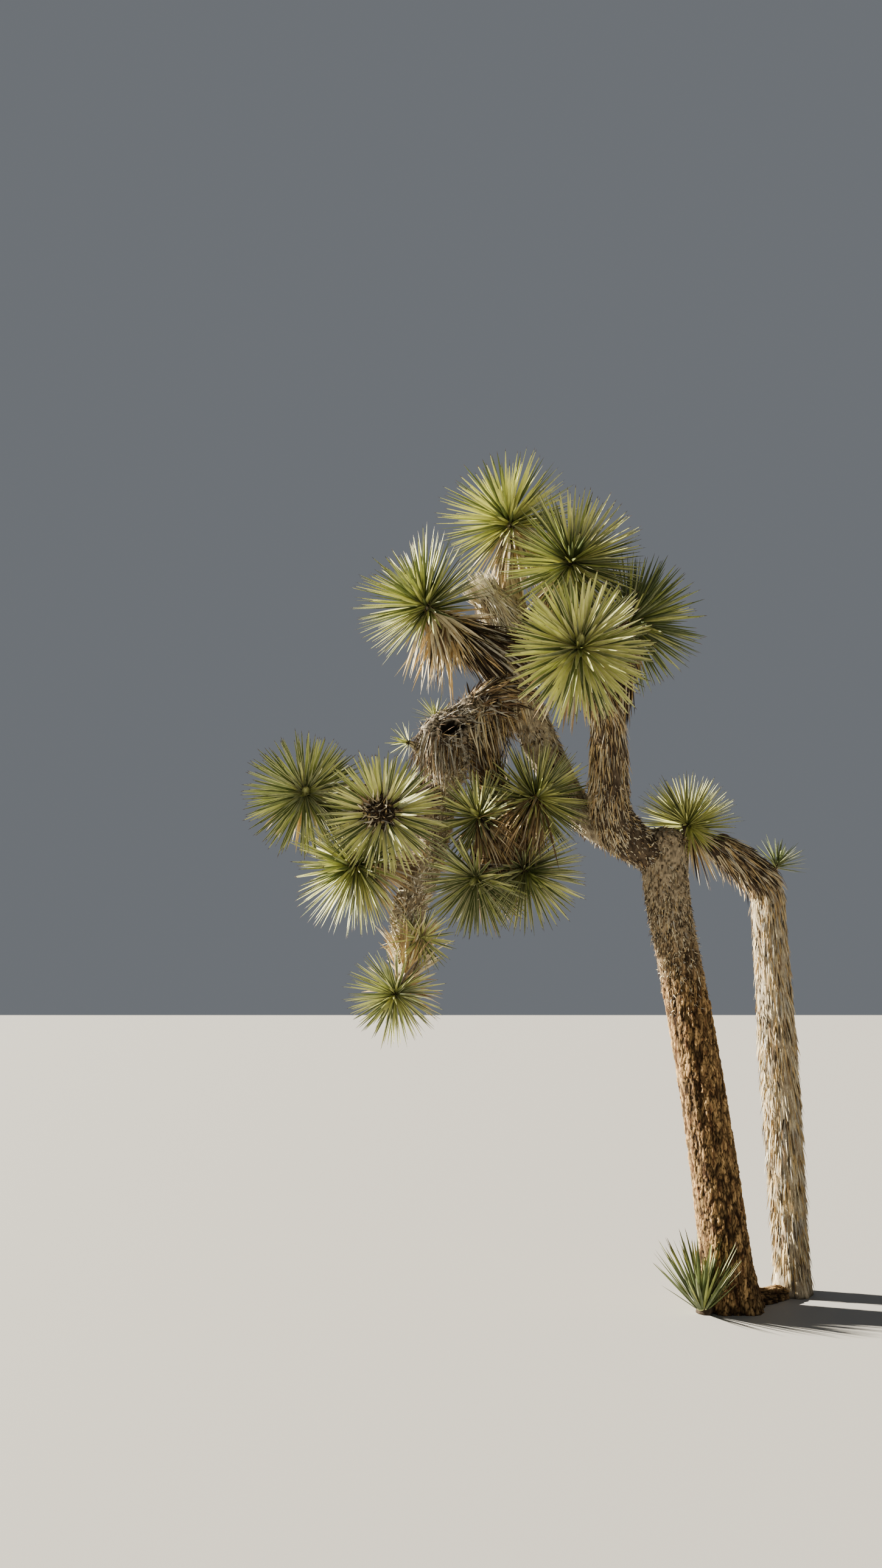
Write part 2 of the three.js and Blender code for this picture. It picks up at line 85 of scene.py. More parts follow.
FRINGE_DEPTH = 0.006  # and of a fringe's
OPENED_SHARE = 0.16  # leaves round a flowered head's middle that are missing
BARE_COSINE = 0.45  # leaves nearer than this to a head's bare side are missing
NECK_NEAR = 40  # in millimetres, as the heads' places are
NECK_BEHIND = -60
SPINDLE_LEAVES = 9
SPINDLE_WIDTH = 2.2  # width of a spindle's leaves, where the head's others have 1
FLOWER_RADIUS = 0.105
FLOWER_SCRAPS = 900
FEW_DEAD = 46  # dead leaves under a head, where it doesn't say
DEAD_LEANS = (1.85, 2.75)  # lean of the dead leaves from the bud's direction, in radians
STEM_SIDES = 24
STEM_BLADES = 900  # dead blades on a metre of a head's stem
STEM_COAT = dict(span=(0.0, 0.75), lift=(0.05, 0.3), hang=(0.1, 0.5), length=(0.07, 0.16),
                 width=(0.006, 0.011), roll=0.5)

# Where each kind's random numbers start
COAT_SEED = 500
SKIRT_SEED = 700
LEAF_SEED = 900
DEAD_SEED = 1200

# Material numbers of living leaves: the greens come first
GREENS = 4
MARGIN, SPINE, FOOT, BUD = range(GREENS, GREENS + 4)


# Arrays of vectors and numbers
def unit(vectors):
    """Each vector divided by its own length."""
    return vectors / np.maximum(np.linalg.norm(vectors, axis=-1, keepdims=True), 1e-9)


def mix(a, b, share):
    """a at share 0, b at share 1, and a straight blend between."""
    return a + (b - a) * share


def smooth(x, low, high):
    """0 below low, 1 above high, and 3t^2 - 2t^3 between, with t running from 0 to 1."""
    t = np.clip((x - low) / (high - low), 0, 1)
    return t * t * (3 - 2 * t)


def only(kept, *arrays):
    """The rows of several arrays that are kept."""
    return [a[kept] for a in arrays]


def column(values):
    """Numbers made ready to scale an array of vectors."""
    return np.asarray(values)[..., None]


def lattice(x, y, z, seed):
    """A number from 0 to 1 for each whole-numbered place: its coordinates times large odd
    numbers, joined by exclusive or and scrambled."""
    h = x.astype(np.uint64) * np.uint64(73856093)
    h ^= y.astype(np.uint64) * np.uint64(19349663)
    h ^= z.astype(np.uint64) * np.uint64(83492791)
    h ^= np.uint64(seed * 2654435761 % 2**32)
    h = (h ^ (h >> np.uint64(15))) * np.uint64(2246822519)
    h = (h ^ (h >> np.uint64(13))) * np.uint64(3266489917)
    h ^= h >> np.uint64(16)
    return (h & np.uint64(0xFFFFFF)) / float(0xFFFFFF)


def noise(points, size, seed):
    """Value noise from -1 to 1: the numbers at the eight corners round a point, blended by
    3t^2 - 2t^3 along each axis. size is one cell's length, or its length along each axis."""
    scaled = points / np.asarray(size)
    cell = np.floor(scaled).astype(np.int64)
    t = scaled - cell
    t = t * t * (3 - 2 * t)
    total = np.zeros(points.shape[:-1])
    for corner in np.ndindex(2, 2, 2):
        weight = np.prod(np.where(np.array(corner) == 1, t, 1 - t), axis=-1)
        place = cell + np.array(corner)
        total += weight * lattice(place[..., 0], place[..., 1], place[..., 2], seed)
    return 2 * total - 1


def plates(around, along, count, length, seed):
    """Cracked plates on a limb: the plane of turn and height is filled with jittered cells, count
    of them round the limb and each of the given length. Gives, for each point, how much nearer
    its own cell's middle is than the next one (0 on a crack), a number for its cell, and how far
    it lies above the cell's middle, in cells."""
    x, y = np.broadcast_arrays(around * count, along / length)
    column_of, row_of = np.floor(x).astype(np.int64), np.floor(y).astype(np.int64)
    nearest, second = np.full(x.shape, 9.0), np.full(x.shape, 9.0)
    own, above = np.zeros(x.shape), np.zeros(x.shape)
    for step in np.ndindex(3, 3):
        cx, cy = column_of + step[0] - 1, row_of + step[1] - 1
        wrapped = cx % count
        zero = np.zeros_like(cx)
        jitter_x = lattice(wrapped, cy, zero, seed)
        jitter_y = lattice(wrapped, cy, zero + 1, seed)
        rise = y - cy - jitter_y
        distance = np.hypot(cx + jitter_x - x, rise)
        closer = distance < nearest
        second = np.where(closer, nearest, np.minimum(second, distance))
        own = np.where(closer, lattice(wrapped, cy, zero + 2, seed), own)
        above = np.where(closer, rise, above)
        nearest = np.minimum(nearest, distance)
    return second - nearest, own, above


# Routes of limbs
def route(places, spacing):
    """A centripetal Catmull-Rom curve through the places, as points an even spacing apart. The
    knots are spaced by the square root of distance, and each span is a cubic Hermite curve. Gives
    the points, how far along the curve each of them lies, and how far along each place lies."""
    p = np.vstack([2 * places[0] - places[1], places, 2 * places[-1] - places[-2]])
    knot = np.sqrt(np.linalg.norm(np.diff(p, axis=0), axis=1))[:, None]
    fine = 40
    t = np.linspace(0, 1, fine, endpoint=False)[:, None]
    spans = []
    for i in range(1, len(p) - 2):
        before, here, after = knot[i - 1], knot[i], knot[i + 1]
        a, b, c, d = p[i - 1 : i + 3]
        start = ((b - a) / before - (c - a) / (before + here) + (c - b) / here) * here
        end = ((c - b) / here - (d - b) / (here + after) + (d - c) / after) * here
        cubic = 2 * b - 2 * c + start + end
        square = -3 * b + 3 * c - 2 * start - end
        spans.append(cubic * t**3 + square * t**2 + start * t + b)
    line = np.vstack([*spans, places[-1:]])
    reached = np.concatenate([[0], np.cumsum(np.linalg.norm(np.diff(line, axis=0), axis=1))])
    steps = max(4, round(reached[-1] / spacing))
    even = np.linspace(0, reached[-1], steps + 1)
    points = np.stack([np.interp(even, reached, line[:, k]) for k in range(3)], axis=1)
    return points, even, reached[::fine]


def square_to(direction, spare=None):
    """Two directions square to each given one: the spare direction with its share along the given
    one taken out, and the cross product of the two. The spare is the axis least along them."""
    if spare is None:
        spare = np.eye(3)[np.argmin(np.abs(direction.reshape(-1, 3)).max(axis=0))]
    side = unit(spare - column((spare * direction).sum(axis=-1)) * direction)
    return side, np.cross(direction, side)


def spokes(axis, turn):
    """Directions square to an axis at each turn round it: side * cos + above * sin."""
    side, above = square_to(axis[None])
    return side * column(np.cos(turn)) + above * column(np.sin(turn))


class Limb:
    """A limb's centre line with its radius, directions and place along it at each ring."""

    def __init__(self, places, spacing=0.014, flare=0.0, domed=True):
        """Each place is x, y, z and radius in millimetres. The radius runs straight from place to
        place, plus a flare that fades upwards as exp(-height / FLARE_HEIGHT). A domed tip ends
        in a quarter of an ellipse."""
        places = np.asarray(places, float) * MM
        self.centre, self.reached, stops = route(places[:, :3], spacing)
        self.length = self.reached[-1]
        self.low = np.exp(-np.maximum(self.centre[:, 2], 0) / FLARE_HEIGHT) * (flare > 0)
        self.radius = np.interp(self.reached, stops, places[:, 3]) + flare * MM * self.low
        if domed:
            dome = 0.7 * places[-1, 3]
            over = np.clip((self.reached - self.length + dome) / dome, 0, 1)
            self.radius = self.radius * np.sqrt(np.maximum(1 - over**2, 0.0))
        self.along = unit(np.gradient(self.centre, axis=0))
        if flare:
            self.along = unit(mix(-DOWN, self.along, column(smooth(self.reached, 0, 0.4))))
        self.side, self.above = square_to(self.along)

    def at(self, share, turn):
        """Points on the plain surface, outward and onward directions there, at shares of the
        length and turns round it: centre + radius * (side * cos + above * sin)."""
        reached = np.asarray(share) * self.length
        read = lambda values: np.interp(reached, self.reached, values)
        place = lambda rows: np.stack([read(rows[:, k]) for k in range(3)], axis=-1)
        side, above = unit(place(self.side)), unit(place(self.above))
        out = side * column(np.cos(turn)) + above * column(np.sin(turn))
        return place(self.centre) + out * column(read(self.radius)), out, unit(place(self.along))


# Meshes
def place_in_scene(name, data):
    """An object for some data, linked to the scene."""
    made = bpy.data.objects.new(name, data)
    bpy.context.scene.collection.objects.link(made)
    return made


def make_piece(name, points, faces, shades, materials, stands_for, smooth_faces=False):
    """A mesh piece from an array of points and several arrays of faces, one material number to a
    face. It rides on the root body and stands for CAD nodes."""
    corners = np.concatenate([f.ravel() for f in faces]).astype(np.int32)
    sizes = np.concatenate([np.full(len(f), f.shape[1]) for f in faces])
    starts = np.concatenate([[0], np.cumsum(sizes)[:-1]]).astype(np.int32)
    mesh = bpy.data.meshes.new(name)
    mesh.vertices.add(len(points))
    mesh.vertices.foreach_set("co", np.ascontiguousarray(points, np.float32).ravel())
    mesh.loops.add(len(corners))
    mesh.polygons.add(len(sizes))
    mesh.polygons.foreach_set("loop_start", starts)
    mesh.polygons.foreach_set("vertices", corners)
    for material in materials:
        mesh.materials.append(material)
    mesh.polygons.foreach_set("material_index", np.concatenate(shades).astype(np.int32))
    mesh.polygons.foreach_set("use_smooth", np.full(len(sizes), smooth_faces))
    mesh.update(calc_edges=True)
    piece = place_in_scene(name, mesh)
    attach(piece, "root")
    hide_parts(*stands_for)
    return piece


def give_values(piece, name, values):
    """A number for each of a piece's points, which its material reads by name."""
    attribute = piece.data.attributes.new(name, "FLOAT", "POINT")
    attribute.data.foreach_set("value", np.ascontiguousarray(values, np.float32).ravel())


def tube_faces(rings, sides):
    """Faces of a tube of rings closed by two poles, whose points come after the rings': those that
    run along it, those round its foot and those round its tip."""
    grid = np.arange(rings * sides).reshape(rings, sides)
    onward = np.roll(grid, -1, axis=1)
    along = np.stack([grid[:-1], onward[:-1], onward[1:], grid[1:]], axis=-1).reshape(-1, 4)
    pole = np.full(sides, rings * sides)
    low = np.stack([pole, onward[0], grid[0]], axis=-1)
    high = np.stack([pole + 1, grid[-1], onward[-1]], axis=-1)
    return along, low, high


def skin(name, limb, around, relief, material, stands_for):
    """A limb's skin, a function of turn and place along it: centre + (radius + relief) *
    (side * cos + above * sin), closed by a pole at each end and kept out of the ground. relief
    gives a height and a crack value for each point, and its height fades out on a thin tip."""
    turn = np.linspace(0, 2 * math.pi, around, endpoint=False)
    out = limb.side[:, None] * column(np.cos(turn)) + limb.above[:, None] * column(np.sin(turn))
    lobes = 1 + FLARE_LOBE_DEPTH * limb.low[:, None] * np.cos(FLARE_LOBES * turn)
    radius = limb.radius[:, None] * lobes
    plain = limb.centre[:, None] + out * column(radius)
    height, crack = relief(plain, turn[None] / (2 * math.pi), limb.reached[:, None] + 0 * turn)
    fade = np.clip(limb.radius / FADE_RADIUS, 0, 1)[:, None]
    points = plain + out * column(height * fade)
    points[..., 2] = np.maximum(points[..., 2], 0)
    everything = np.vstack([points.reshape(-1, 3), limb.centre[0], limb.centre[-1]])
    faces = tube_faces(len(limb.centre), around)
    shades = [np.zeros(len(f)) for f in faces]
    piece = make_piece(name, everything, faces, shades, [material], stands_for, True)
    give_values(piece, "crack", np.concatenate([crack.ravel(), [1, 1]]))


# Cross-sections of blades: across and up, in half-widths, counter-clockwise seen from the tip
LIVING_SECTION = np.array([[-1, 0.3], [0, -0.3], [1, 0.3], [0.78, 0.2], [0, 0.0], [-0.78, 0.2]])
DRY_SECTION = np.array([[-1, 0.24], [0, -0.2], [1, 0.24]])

MARGIN_SIDES = [2, 5]  # the living section's narrow edges

# Stations along a blade: share of its length, and half-width there as a share of the widest
LIVING_STATIONS = np.array([[0, 0.6], [0.08, 0.8], [0.28, 1], [0.62, 0.78], [0.95, 0.18]])
DRY_STATIONS = np.array([[0, 0.7], [0.3, 1], [0.72, 0.66]])
SCALE_STATIONS = np.array([[0, 0.9], [0.45, 1]])


def blades(root, along, across, length, width, section, stations, sag=None, twist=None):
    """Blades with one section carried along each: root + along * length * s + sag * length * s^2,
    with the section's points at across * x + face * y, in half-widths of the station, where face
    is square to both. across turns by twist * s about the blade. Both ends close in a point.
    Gives the points, the faces that run along, and those at the ends, as arrays over blade,
    station and side."""
    count, rings, sides = len(root), len(stations), len(section)
    s = stations[:, 0]
    sag = np.zeros((count, 3)) if sag is None else sag
    twist = np.zeros(count) if twist is None else twist
    reach = column(np.asarray(length))
    line = root[:, None] + (along * reach)[:, None] * s[:, None]
    line = line + (sag * reach)[:, None] * (s**2)[:, None]
    face = np.cross(along, across)
    angle = twist[:, None] * s
    wide = across[:, None] * column(np.cos(angle)) + face[:, None] * column(np.sin(angle))
    high = face[:, None] * column(np.cos(angle)) - across[:, None] * column(np.sin(angle))
    half = np.asarray(width)[:, None] / 2 * stations[:, 1]
    x, y = section[:, 0], section[:, 1]
    flat = wide[:, :, None] * (half[..., None] * x)[..., None]
    deep = high[:, :, None] * (half[..., None] * y)[..., None]
    body = (line[:, :, None] + flat + deep).reshape(count, rings * sides, 3)
    foot = root - along * column(np.asarray(width)) * 0.4
    tip = root + along * reach + sag * reach
    points = np.concatenate([body, foot[:, None], tip[:, None]], axis=1)
    step = (np.arange(count) * points.shape[1])[:, None, None]
    return points.reshape(-1, 3), *(faces[None] + step for faces in tube_faces(rings, sides))


def blade_piece(name, parts, materials, stands_for):
    """One piece from several sets of blades, each with the material numbers of its faces."""
    points, faces, shades = [], [], []
    for (at, *sets), numbers in parts:
        offset = sum(len(p) for p in points)
        points.append(at)
        for one, number in zip(sets, numbers):
            faces.append(one.reshape(-1, one.shape[-1]) + offset)
            shades.append(np.broadcast_to(number, one.shape[:2]).ravel())
    make_piece(name, np.vstack(points), faces, shades, materials, stands_for)


def pick(weights, count, random):
    """Material numbers drawn at random by their weights."""
    return random.choice(len(weights), count, p=weights)


# Living heads of leaves
def read_head(head):
    """A head's bud and the way that it faces, and the length of its leaves."""
    return np.array(head["bud"]) * MM, unit(np.array(head["facing"], float)), head["length"] * MM


def head_leaves(head, random):
    """The places of a head's leaves. The leaves' lean from the bud's direction spreads them evenly
    over a ball, from FIRST_LEAN to the head's lowest, and they turn by the golden angle. Roots
    step back along the stem. Gives root, along, across, length, sag and share from the bud."""
    bud, axis, size = read_head(head)
    count = head["leaves"]
    share = (np.arange(count) + 0.5) / count
    first, last = math.radians(FIRST_LEAN), math.radians(head.get("lowest", LAST_LEAN))
    level = mix(math.cos(first), math.cos(last), share)
    lean = np.arccos(level) + random.uniform(-0.08, 0.08, count)
    turn = np.arange(count) * GOLDEN_ANGLE + random.uniform(-0.15, 0.15, count)
    out = spokes(axis, turn)
    along = axis * column(np.cos(lean)) + out * column(np.sin(lean))
    along[:, 2] -= head.get("droop", 0.1) * share
    along = unit(along)
    across = unit(np.cross(axis, along) + random.normal(0, 0.1, (count, 3)))
    age = mix(YOUNG_LEAF, 1, smooth(share, 0, FULL_GROWN))
    length = size * age * random.uniform(0.9, 1.06, count)
    stem = size * LEAFY_STEM * mix(BUD_RADIUS, 1, smooth(share, 0, 0.5))
    root = bud - axis * column(size * COLLAR * mix(0.1, 0.9, share)) + out * column(stem * 0.5)
    root[:, 2] = np.maximum(root[:, 2], LOWEST_ROOT)
    sag = -out * column(0.04 * np.sin(lean)) + DOWN * column(0.025 * share)
    return root, along, across, length, sag + random.normal(0, 0.014, (count, 3)), share


def spindle(head, random):
    """The closed bud at a head's middle: young leaves side by side that meet at its tip."""
    bud, axis, size = read_head(head)
    turn = np.arange(SPINDLE_LEAVES) * 2 * math.pi / SPINDLE_LEAVES
    turn += random.uniform(-0.2, 0.2, SPINDLE_LEAVES)
    out = spokes(axis, turn)
    root = bud - axis * size * 0.04 + out * size * 0.06
    along = unit(axis - out * column(random.uniform(0.1, 0.16, SPINDLE_LEAVES)))
    across = unit(np.cross(along, out))
    length = size * random.uniform(0.36, 0.44, SPINDLE_LEAVES)
    width = np.full(SPINDLE_LEAVES, SPINDLE_WIDTH * size * head.get("wide", LEAF_WIDTH))
    made = blades(root, along, across, length, width, LIVING_SECTION, LIVING_STATIONS)
    return made, living_numbers(np.full(SPINDLE_LEAVES, BUD))


def clear_of_limbs(root, along, length, owners):
    """Whether each blade stays out of the ground, and out of the limbs past its first third: the
    distance from points along it to every ring's centre is more than that ring's radius."""
    centres = np.vstack([limbs[n].centre[::3] for n in limbs if n not in owners])
    radii = np.concatenate([limbs[n].radius[::3] for n in limbs if n not in owners])
    clear = (root + along * column(length))[:, 2] > LOWEST_TIP
    for s in (0.4, 0.6, 0.8, 0.97):
        at = root + along * column(length * s)
        distance = np.linalg.norm(at[:, None] - centres[None], axis=-1) - radii
        clear &= distance.min(axis=1) > LIMB_ROOM
    return clear


def living_numbers(shade):
    """Material numbers of living leaves' faces: each leaf's own shade, with a pale margin down
    both edges, a pale foot and a brown spine."""
    count, spans, sides = len(shade), len(LIVING_STATIONS) - 1, len(LIVING_SECTION)
    numbers = np.repeat(shade[:, None], spans * sides, axis=1).reshape(count, spans, sides)
    numbers[:, :, MARGIN_SIDES] = MARGIN
    numbers[:, 0] = FOOT
    ends = np.full((count, sides), FOOT), np.full((count, sides), SPINE)
    return numbers.reshape(count, -1), *ends


def living_head(name, head, seed):
    """A head of living leaves as one piece. Leaves that would cut through a limb or the ground are
    missing, and so are those on a head's bare side or round its opened middle."""
    random = np.random.default_rng(seed)
    root, along, across, length, sag, share = head_leaves(head, random)
    kept = clear_of_limbs(root, along, length, head.get("on", ()))
    if head.get("opened"):
        kept &= share > OPENED_SHARE
    if head.get("bare"):
        kept &= along @ unit(np.array(head["bare"], float)) < BARE_COSINE
    root, along, across, length, sag, share = only(kept, root, along, across, length, sag, share)
    count = len(root)
    wide = head["length"] * MM * head.get("wide", LEAF_WIDTH)
    width = wide * random.uniform(0.82, 1.15, count)
    width *= mix(0.8, 1, smooth(share, 0, FULL_GROWN))
    shade = pick(head["greens"], count, random)
    made = blades(root, along, across, length, width, LIVING_SECTION, LIVING_STATIONS, sag)
    parts = [(made, living_numbers(shade))]
    if not head.get("opened"):
        parts.append(spindle(head, random))
    blade_piece(f"leaves_{name}", parts, leaf_materials, [name])


# Dead leaves
def dry_set(root, along, across, length, width, shade, sag, twist, stations=DRY_STATIONS):
    """Dry blades with their material numbers, one shade to a blade."""
    made = blades(root, along, across, length, width, DRY_SECTION, stations, sag, twist)
    return made, tuple(shade[:, None] for _ in range(3))


def dry_collar(head, random):
    """The dead leaves just under a head: they lean back past its lowest living ones, and sag."""
    count = head.get("dead", FEW_DEAD)
    bud, axis, size = read_head(head)
    share = (np.arange(count) + 0.5) / count
    turn = np.arange(count) * GOLDEN_ANGLE + random.uniform(-0.2, 0.2, count)
    lean = mix(*DEAD_LEANS, share) + random.uniform(-0.15, 0.15, count)
    out = spokes(axis, turn)
    along = axis * column(np.cos(lean)) + out * column(np.sin(lean))
    along[:, 2] -= mix(0.25, 0.6, share) * head.get("limp", 1)
    along = unit(along)
    back = size * COLLAR * mix(0.8, 1.4, share)
    root = bud - axis * column(back) + out * size * LEAFY_STEM * 0.6
    across = unit(np.cross(axis, along) + random.normal(0, 0.25, (count, 3)))
    length = size * random.uniform(0.55, 0.95, count)
    kept = (root + along * column(length))[:, 2] > LOWEST_TIP
    root, along, across, length = only(kept, root, along, across, length)
    count = len(root)
    sag = DOWN * column(random.uniform(0.05, 0.25, count))
    twist = random.normal(0, 0.5, count)
    width = size * head.get("wide", LEAF_WIDTH) * random.uniform(0.7, 1.1, count)
    shade = pick(head.get("dry", DRY_STRAW), count, random)
    return dry_set(root, along, across, length, width, shade, sag, twist)


def thatch(limb, coat, random):
    """Dead blades that clothe a limb: they start on its surface, lie back along it at a small
    lift, and hang with gravity. Turns go by the golden angle, so that they cover it evenly."""
    count = coat["count"]
    place = (np.arange(count) + random.random(count)) / count
    share = mix(*coat.get("span", (0.02, 0.99)), place ** coat.get("ramp", 1))
    turn = np.arange(count) * GOLDEN_ANGLE + random.uniform(-0.4, 0.4, count)
    at, out, onward = limb.at(share, turn)
    lift = random.uniform(*coat["lift"], count)
    along = -onward * column(np.cos(lift)) * coat.get("back", 1) + out * column(np.sin(lift))
    along += DOWN * column(random.uniform(*coat["hang"], count))
    along += random.normal(0, coat.get("stray", 0.08), (count, 3))
    inward = np.minimum((along * out).sum(axis=1), 0)
    along = unit(along - out * column(inward * 1.05 - 0.03))
    across = unit(np.cross(out, along) + random.normal(0, coat.get("roll", 0.3), (count, 3)))
    across, _ = square_to(along, across)
    length = random.uniform(*coat["length"], count)
    width = random.uniform(*coat["width"], count)
    sag = DOWN * column(random.uniform(0, 0.1, count))
    sag -= out * column(random.uniform(0, 0.06, count))
    twist = random.normal(0, 0.5, count)
    shade = pick(coat["shades"], count, random)
    root = at - out * THATCH_DEPTH
    stations = SCALE_STATIONS if coat.get("scales") else DRY_STATIONS
    kept = (root + along * column(length) + sag * column(length))[:, 2] > LOWEST_BLADE
    kept &= clear_of_hollow(root, along, length)
    chosen = only(kept, root, along, across, length, width, shade, sag, twist)
    return dry_set(*chosen, stations)


def clear_of_hollow(root, along, length):
    """Whether each blade passes the old head's hollow at more than its radius."""
    clear = np.ones(len(root), bool)
    for s in (0, 0.25, 0.5, 0.75, 1):
        at = root + along * column(length * s)
        clear &= np.linalg.norm(at - HOLLOW, axis=1) > HOLLOW_RADIUS
    return clear


def fringe(skirt, random):
    """Dead blades that hang from a limb or a head's stem in one sweep: the sweep's direction, plus
    a share of the outward one that grows at random up to the skirt's spread."""
    count = skirt["count"]
    share = random.uniform(*skirt["span"], count)
    turn = np.arange(count) * GOLDEN_ANGLE
    at, out, _ = (limbs | stems)[skirt["on"]].at(share, turn)
    wide = column(random.uniform(0.15, skirt["spread"], count))
    stray = random.normal(0, skirt.get("stray", 0.1), (count, 3))
    along = unit(np.array(skirt["sweep"], float) + out * wide + stray)
    across = unit(np.cross(out, along) + random.normal(0, 0.35, (count, 3)))
    across, _ = square_to(along, across)
    length = random.uniform(*skirt["length"], count)
    width = random.uniform(*skirt["width"], count)
    sag = DOWN * 0.2 * column(random.random(count))
    sag += random.normal(0, 0.06, (count, 3))
    twist = random.normal(0, 0.7, count)
    shade = pick(skirt["shades"], count, random)
    kept = clear_of_hollow(at, along, length)
    root = at - out * FRINGE_DEPTH
    return dry_set(*only(kept, root, along, across, length, width, shade, sag, twist))


def flower_mat(head, random):
    """The dried flowers in a head's middle: short dark scraps that stick out of a flat ball, by
    a spread of directions over it."""
    count = FLOWER_SCRAPS
    bud, axis, _ = read_head(head)
    level = 1 - 1.7 * (np.arange(count) + 0.5) / count
    turn = np.arange(count) * GOLDEN_ANGLE
    out = axis * column(level) + spokes(axis, turn) * column(np.sqrt(1 - level**2))
    reach = FLOWER_RADIUS * random.uniform(0.25, 1, count)
    root = bud + out * column(reach) * np.array([1, 0.8, 0.75])
    along = unit(out + random.normal(0, 0.7, (count, 3)))
    across = unit(np.cross(along, random.normal(0, 1, (count, 3))))
    length = random.uniform(0.025, 0.065, count)
    width = random.uniform(0.006, 0.013, count)
    sag = random.normal(0, 0.2, (count, 3))
    twist = random.normal(0, 1, count)
    shade = pick(DRY_DARK, count, random)
    return dry_set(root, along, across, length, width, shade, sag, twist, SCALE_STATIONS)


# Reliefs: each gives a height outwards and a crack value for points of a limb's skin
def corky(points, around, reached):
    """Old bark: small upright chips of uneven height whose lower edges stand out, parted by cracks
    and by longer furrows where noise crosses zero, over shallow ridges and slow swellings. It
    turns to matted fibre over FIBRE_LINE. The crack value is low in cracks and furrows, and
    differs from chip to chip."""
    bend = noise(points, 0.03, 3)
    wobble = noise(points, (0.01, 0.01, 0.02), 7)
    moved_around = around + 0.014 * bend + 0.006 * wobble
    moved_up = reached + 0.024 * bend + 0.009 * wobble
    gap, own, above = plates(moved_around, moved_up, CHIPS_ROUND, CHIP_LENGTH, 5)
    chip = smooth(gap, 0, 0.3)
    furrow = smooth(np.abs(noise(points, (0.022, 0.022, 0.08), 31)), 0.0, 0.3)
    rough = noise(points, (0.007, 0.007, 0.012), 33)
    cork = chip * (0.002 + 0.006 * own - 0.0015 * above) + 0.004 * furrow + 0.002 * rough - 0.006
    matted = 0.006 * noise(points, (0.012, 0.012, 0.03), 8) + 0.004 * noise(points, 0.009, 9)
    high = smooth(reached + 0.15 * noise(points, 0.08, 34), *FIBRE_LINE)
    ribs = TRUNK_RIDGE * np.cos(TRUNK_RIDGES * 2 * math.pi * around) * (1 - high)
    swell = 0.005 * noise(points, (0.2, 0.2, 0.3), 4)
    worn = chip * mix(0.15, 1, furrow) * mix(0.25, 1, own)
    return swell + ribs + mix(cork, matted, high), mix(worn, 0.5 + 0.6 * rough, high)


def fibrous(points, around, reached):
    """Matted fibre under a thatch: long noise over lumps."""
    grain = noise(points, (0.012, 0.012, 0.06), 12)
    return 0.005 * grain + 0.008 * noise(points, 0.07, 13), 0.5 + 0.5 * grain


def gnarled(points, around, reached):
    """An old head: heavy lumps, torn ridges round broken leaf feet, and one rotted hollow whose
    depth falls off as exp(-(distance / HOLLOW_RADIUS)^2), with a raised rim round it."""
    gap, own, _ = plates(around, reached, PLATES_ROUND, PLATE_LENGTH, 21)
    lumps = 0.02 * noise(points, 0.09, 22) + 0.01 * noise(points, 0.03, 23)
    torn = 0.006 * noise(points, (0.006, 0.006, 0.03), 24)
    away = np.linalg.norm(points - HOLLOW, axis=-1) / HOLLOW_RADIUS
    pit = np.exp(-(away**2))
    rim = np.exp(-((away - 1.6) ** 2) * 4)
    headed = smooth(reached, 0.1, 0.3)
    height = headed * (lumps + torn + 0.008 * smooth(gap, 0, 0.5) * own)
    # The crack value falls far below zero in the hollow, which paints its inside dark as shade.
    return height - 0.09 * pit + 0.012 * rim, smooth(gap, 0, 0.4) * mix(0.5, 1, own) - 2 * pit


# Materials
BUMP_STRENGTH = 0.5
BUMP_DISTANCE = 0.002


def node(tree, kind, inputs=None, **settings):
    """A node of a kind, with its inputs filled from values or linked from sockets."""
    made = tree.nodes.new(kind)
    for key, value in settings.items():
        setattr(made, key, value)
    for key, value in (inputs or {}).items():
        if isinstance(value, bpy.types.NodeSocket):
            tree.links.new(value, made.inputs[key])
        else:
            made.inputs[key].default_value = value
    return made


def ramp(tree, value, low, high, lowest=0.0):
    """A socket that runs from lowest, where a value is low, to 1, where it is high."""
    inputs = {"Value": value, "From Min": low, "From Max": high, "To Min": lowest}
    return node(tree, "ShaderNodeMapRange", inputs).outputs["Result"]


def blend(tree, share, low, high):
    """A socket with one colour at share 0, the other at share 1, and a blend between."""
    return node(tree, "ShaderNodeMix", {0: share, 6: low, 7: high}, data_type="RGBA").outputs[2]


def group(name, inputs, outputs):
    """An empty node group with named sockets, and its inner input and output sockets."""
    tree = bpy.data.node_groups.new(name, "ShaderNodeTree")
    for label, kind in inputs.items():
        tree.interface.new_socket(label, in_out="INPUT", socket_type=f"NodeSocket{kind}")
    for label, kind in outputs.items():
        tree.interface.new_socket(label, in_out="OUTPUT", socket_type=f"NodeSocket{kind}")
    return tree, tree.nodes.new("NodeGroupInput").outputs, tree.nodes.new("NodeGroupOutput").inputs


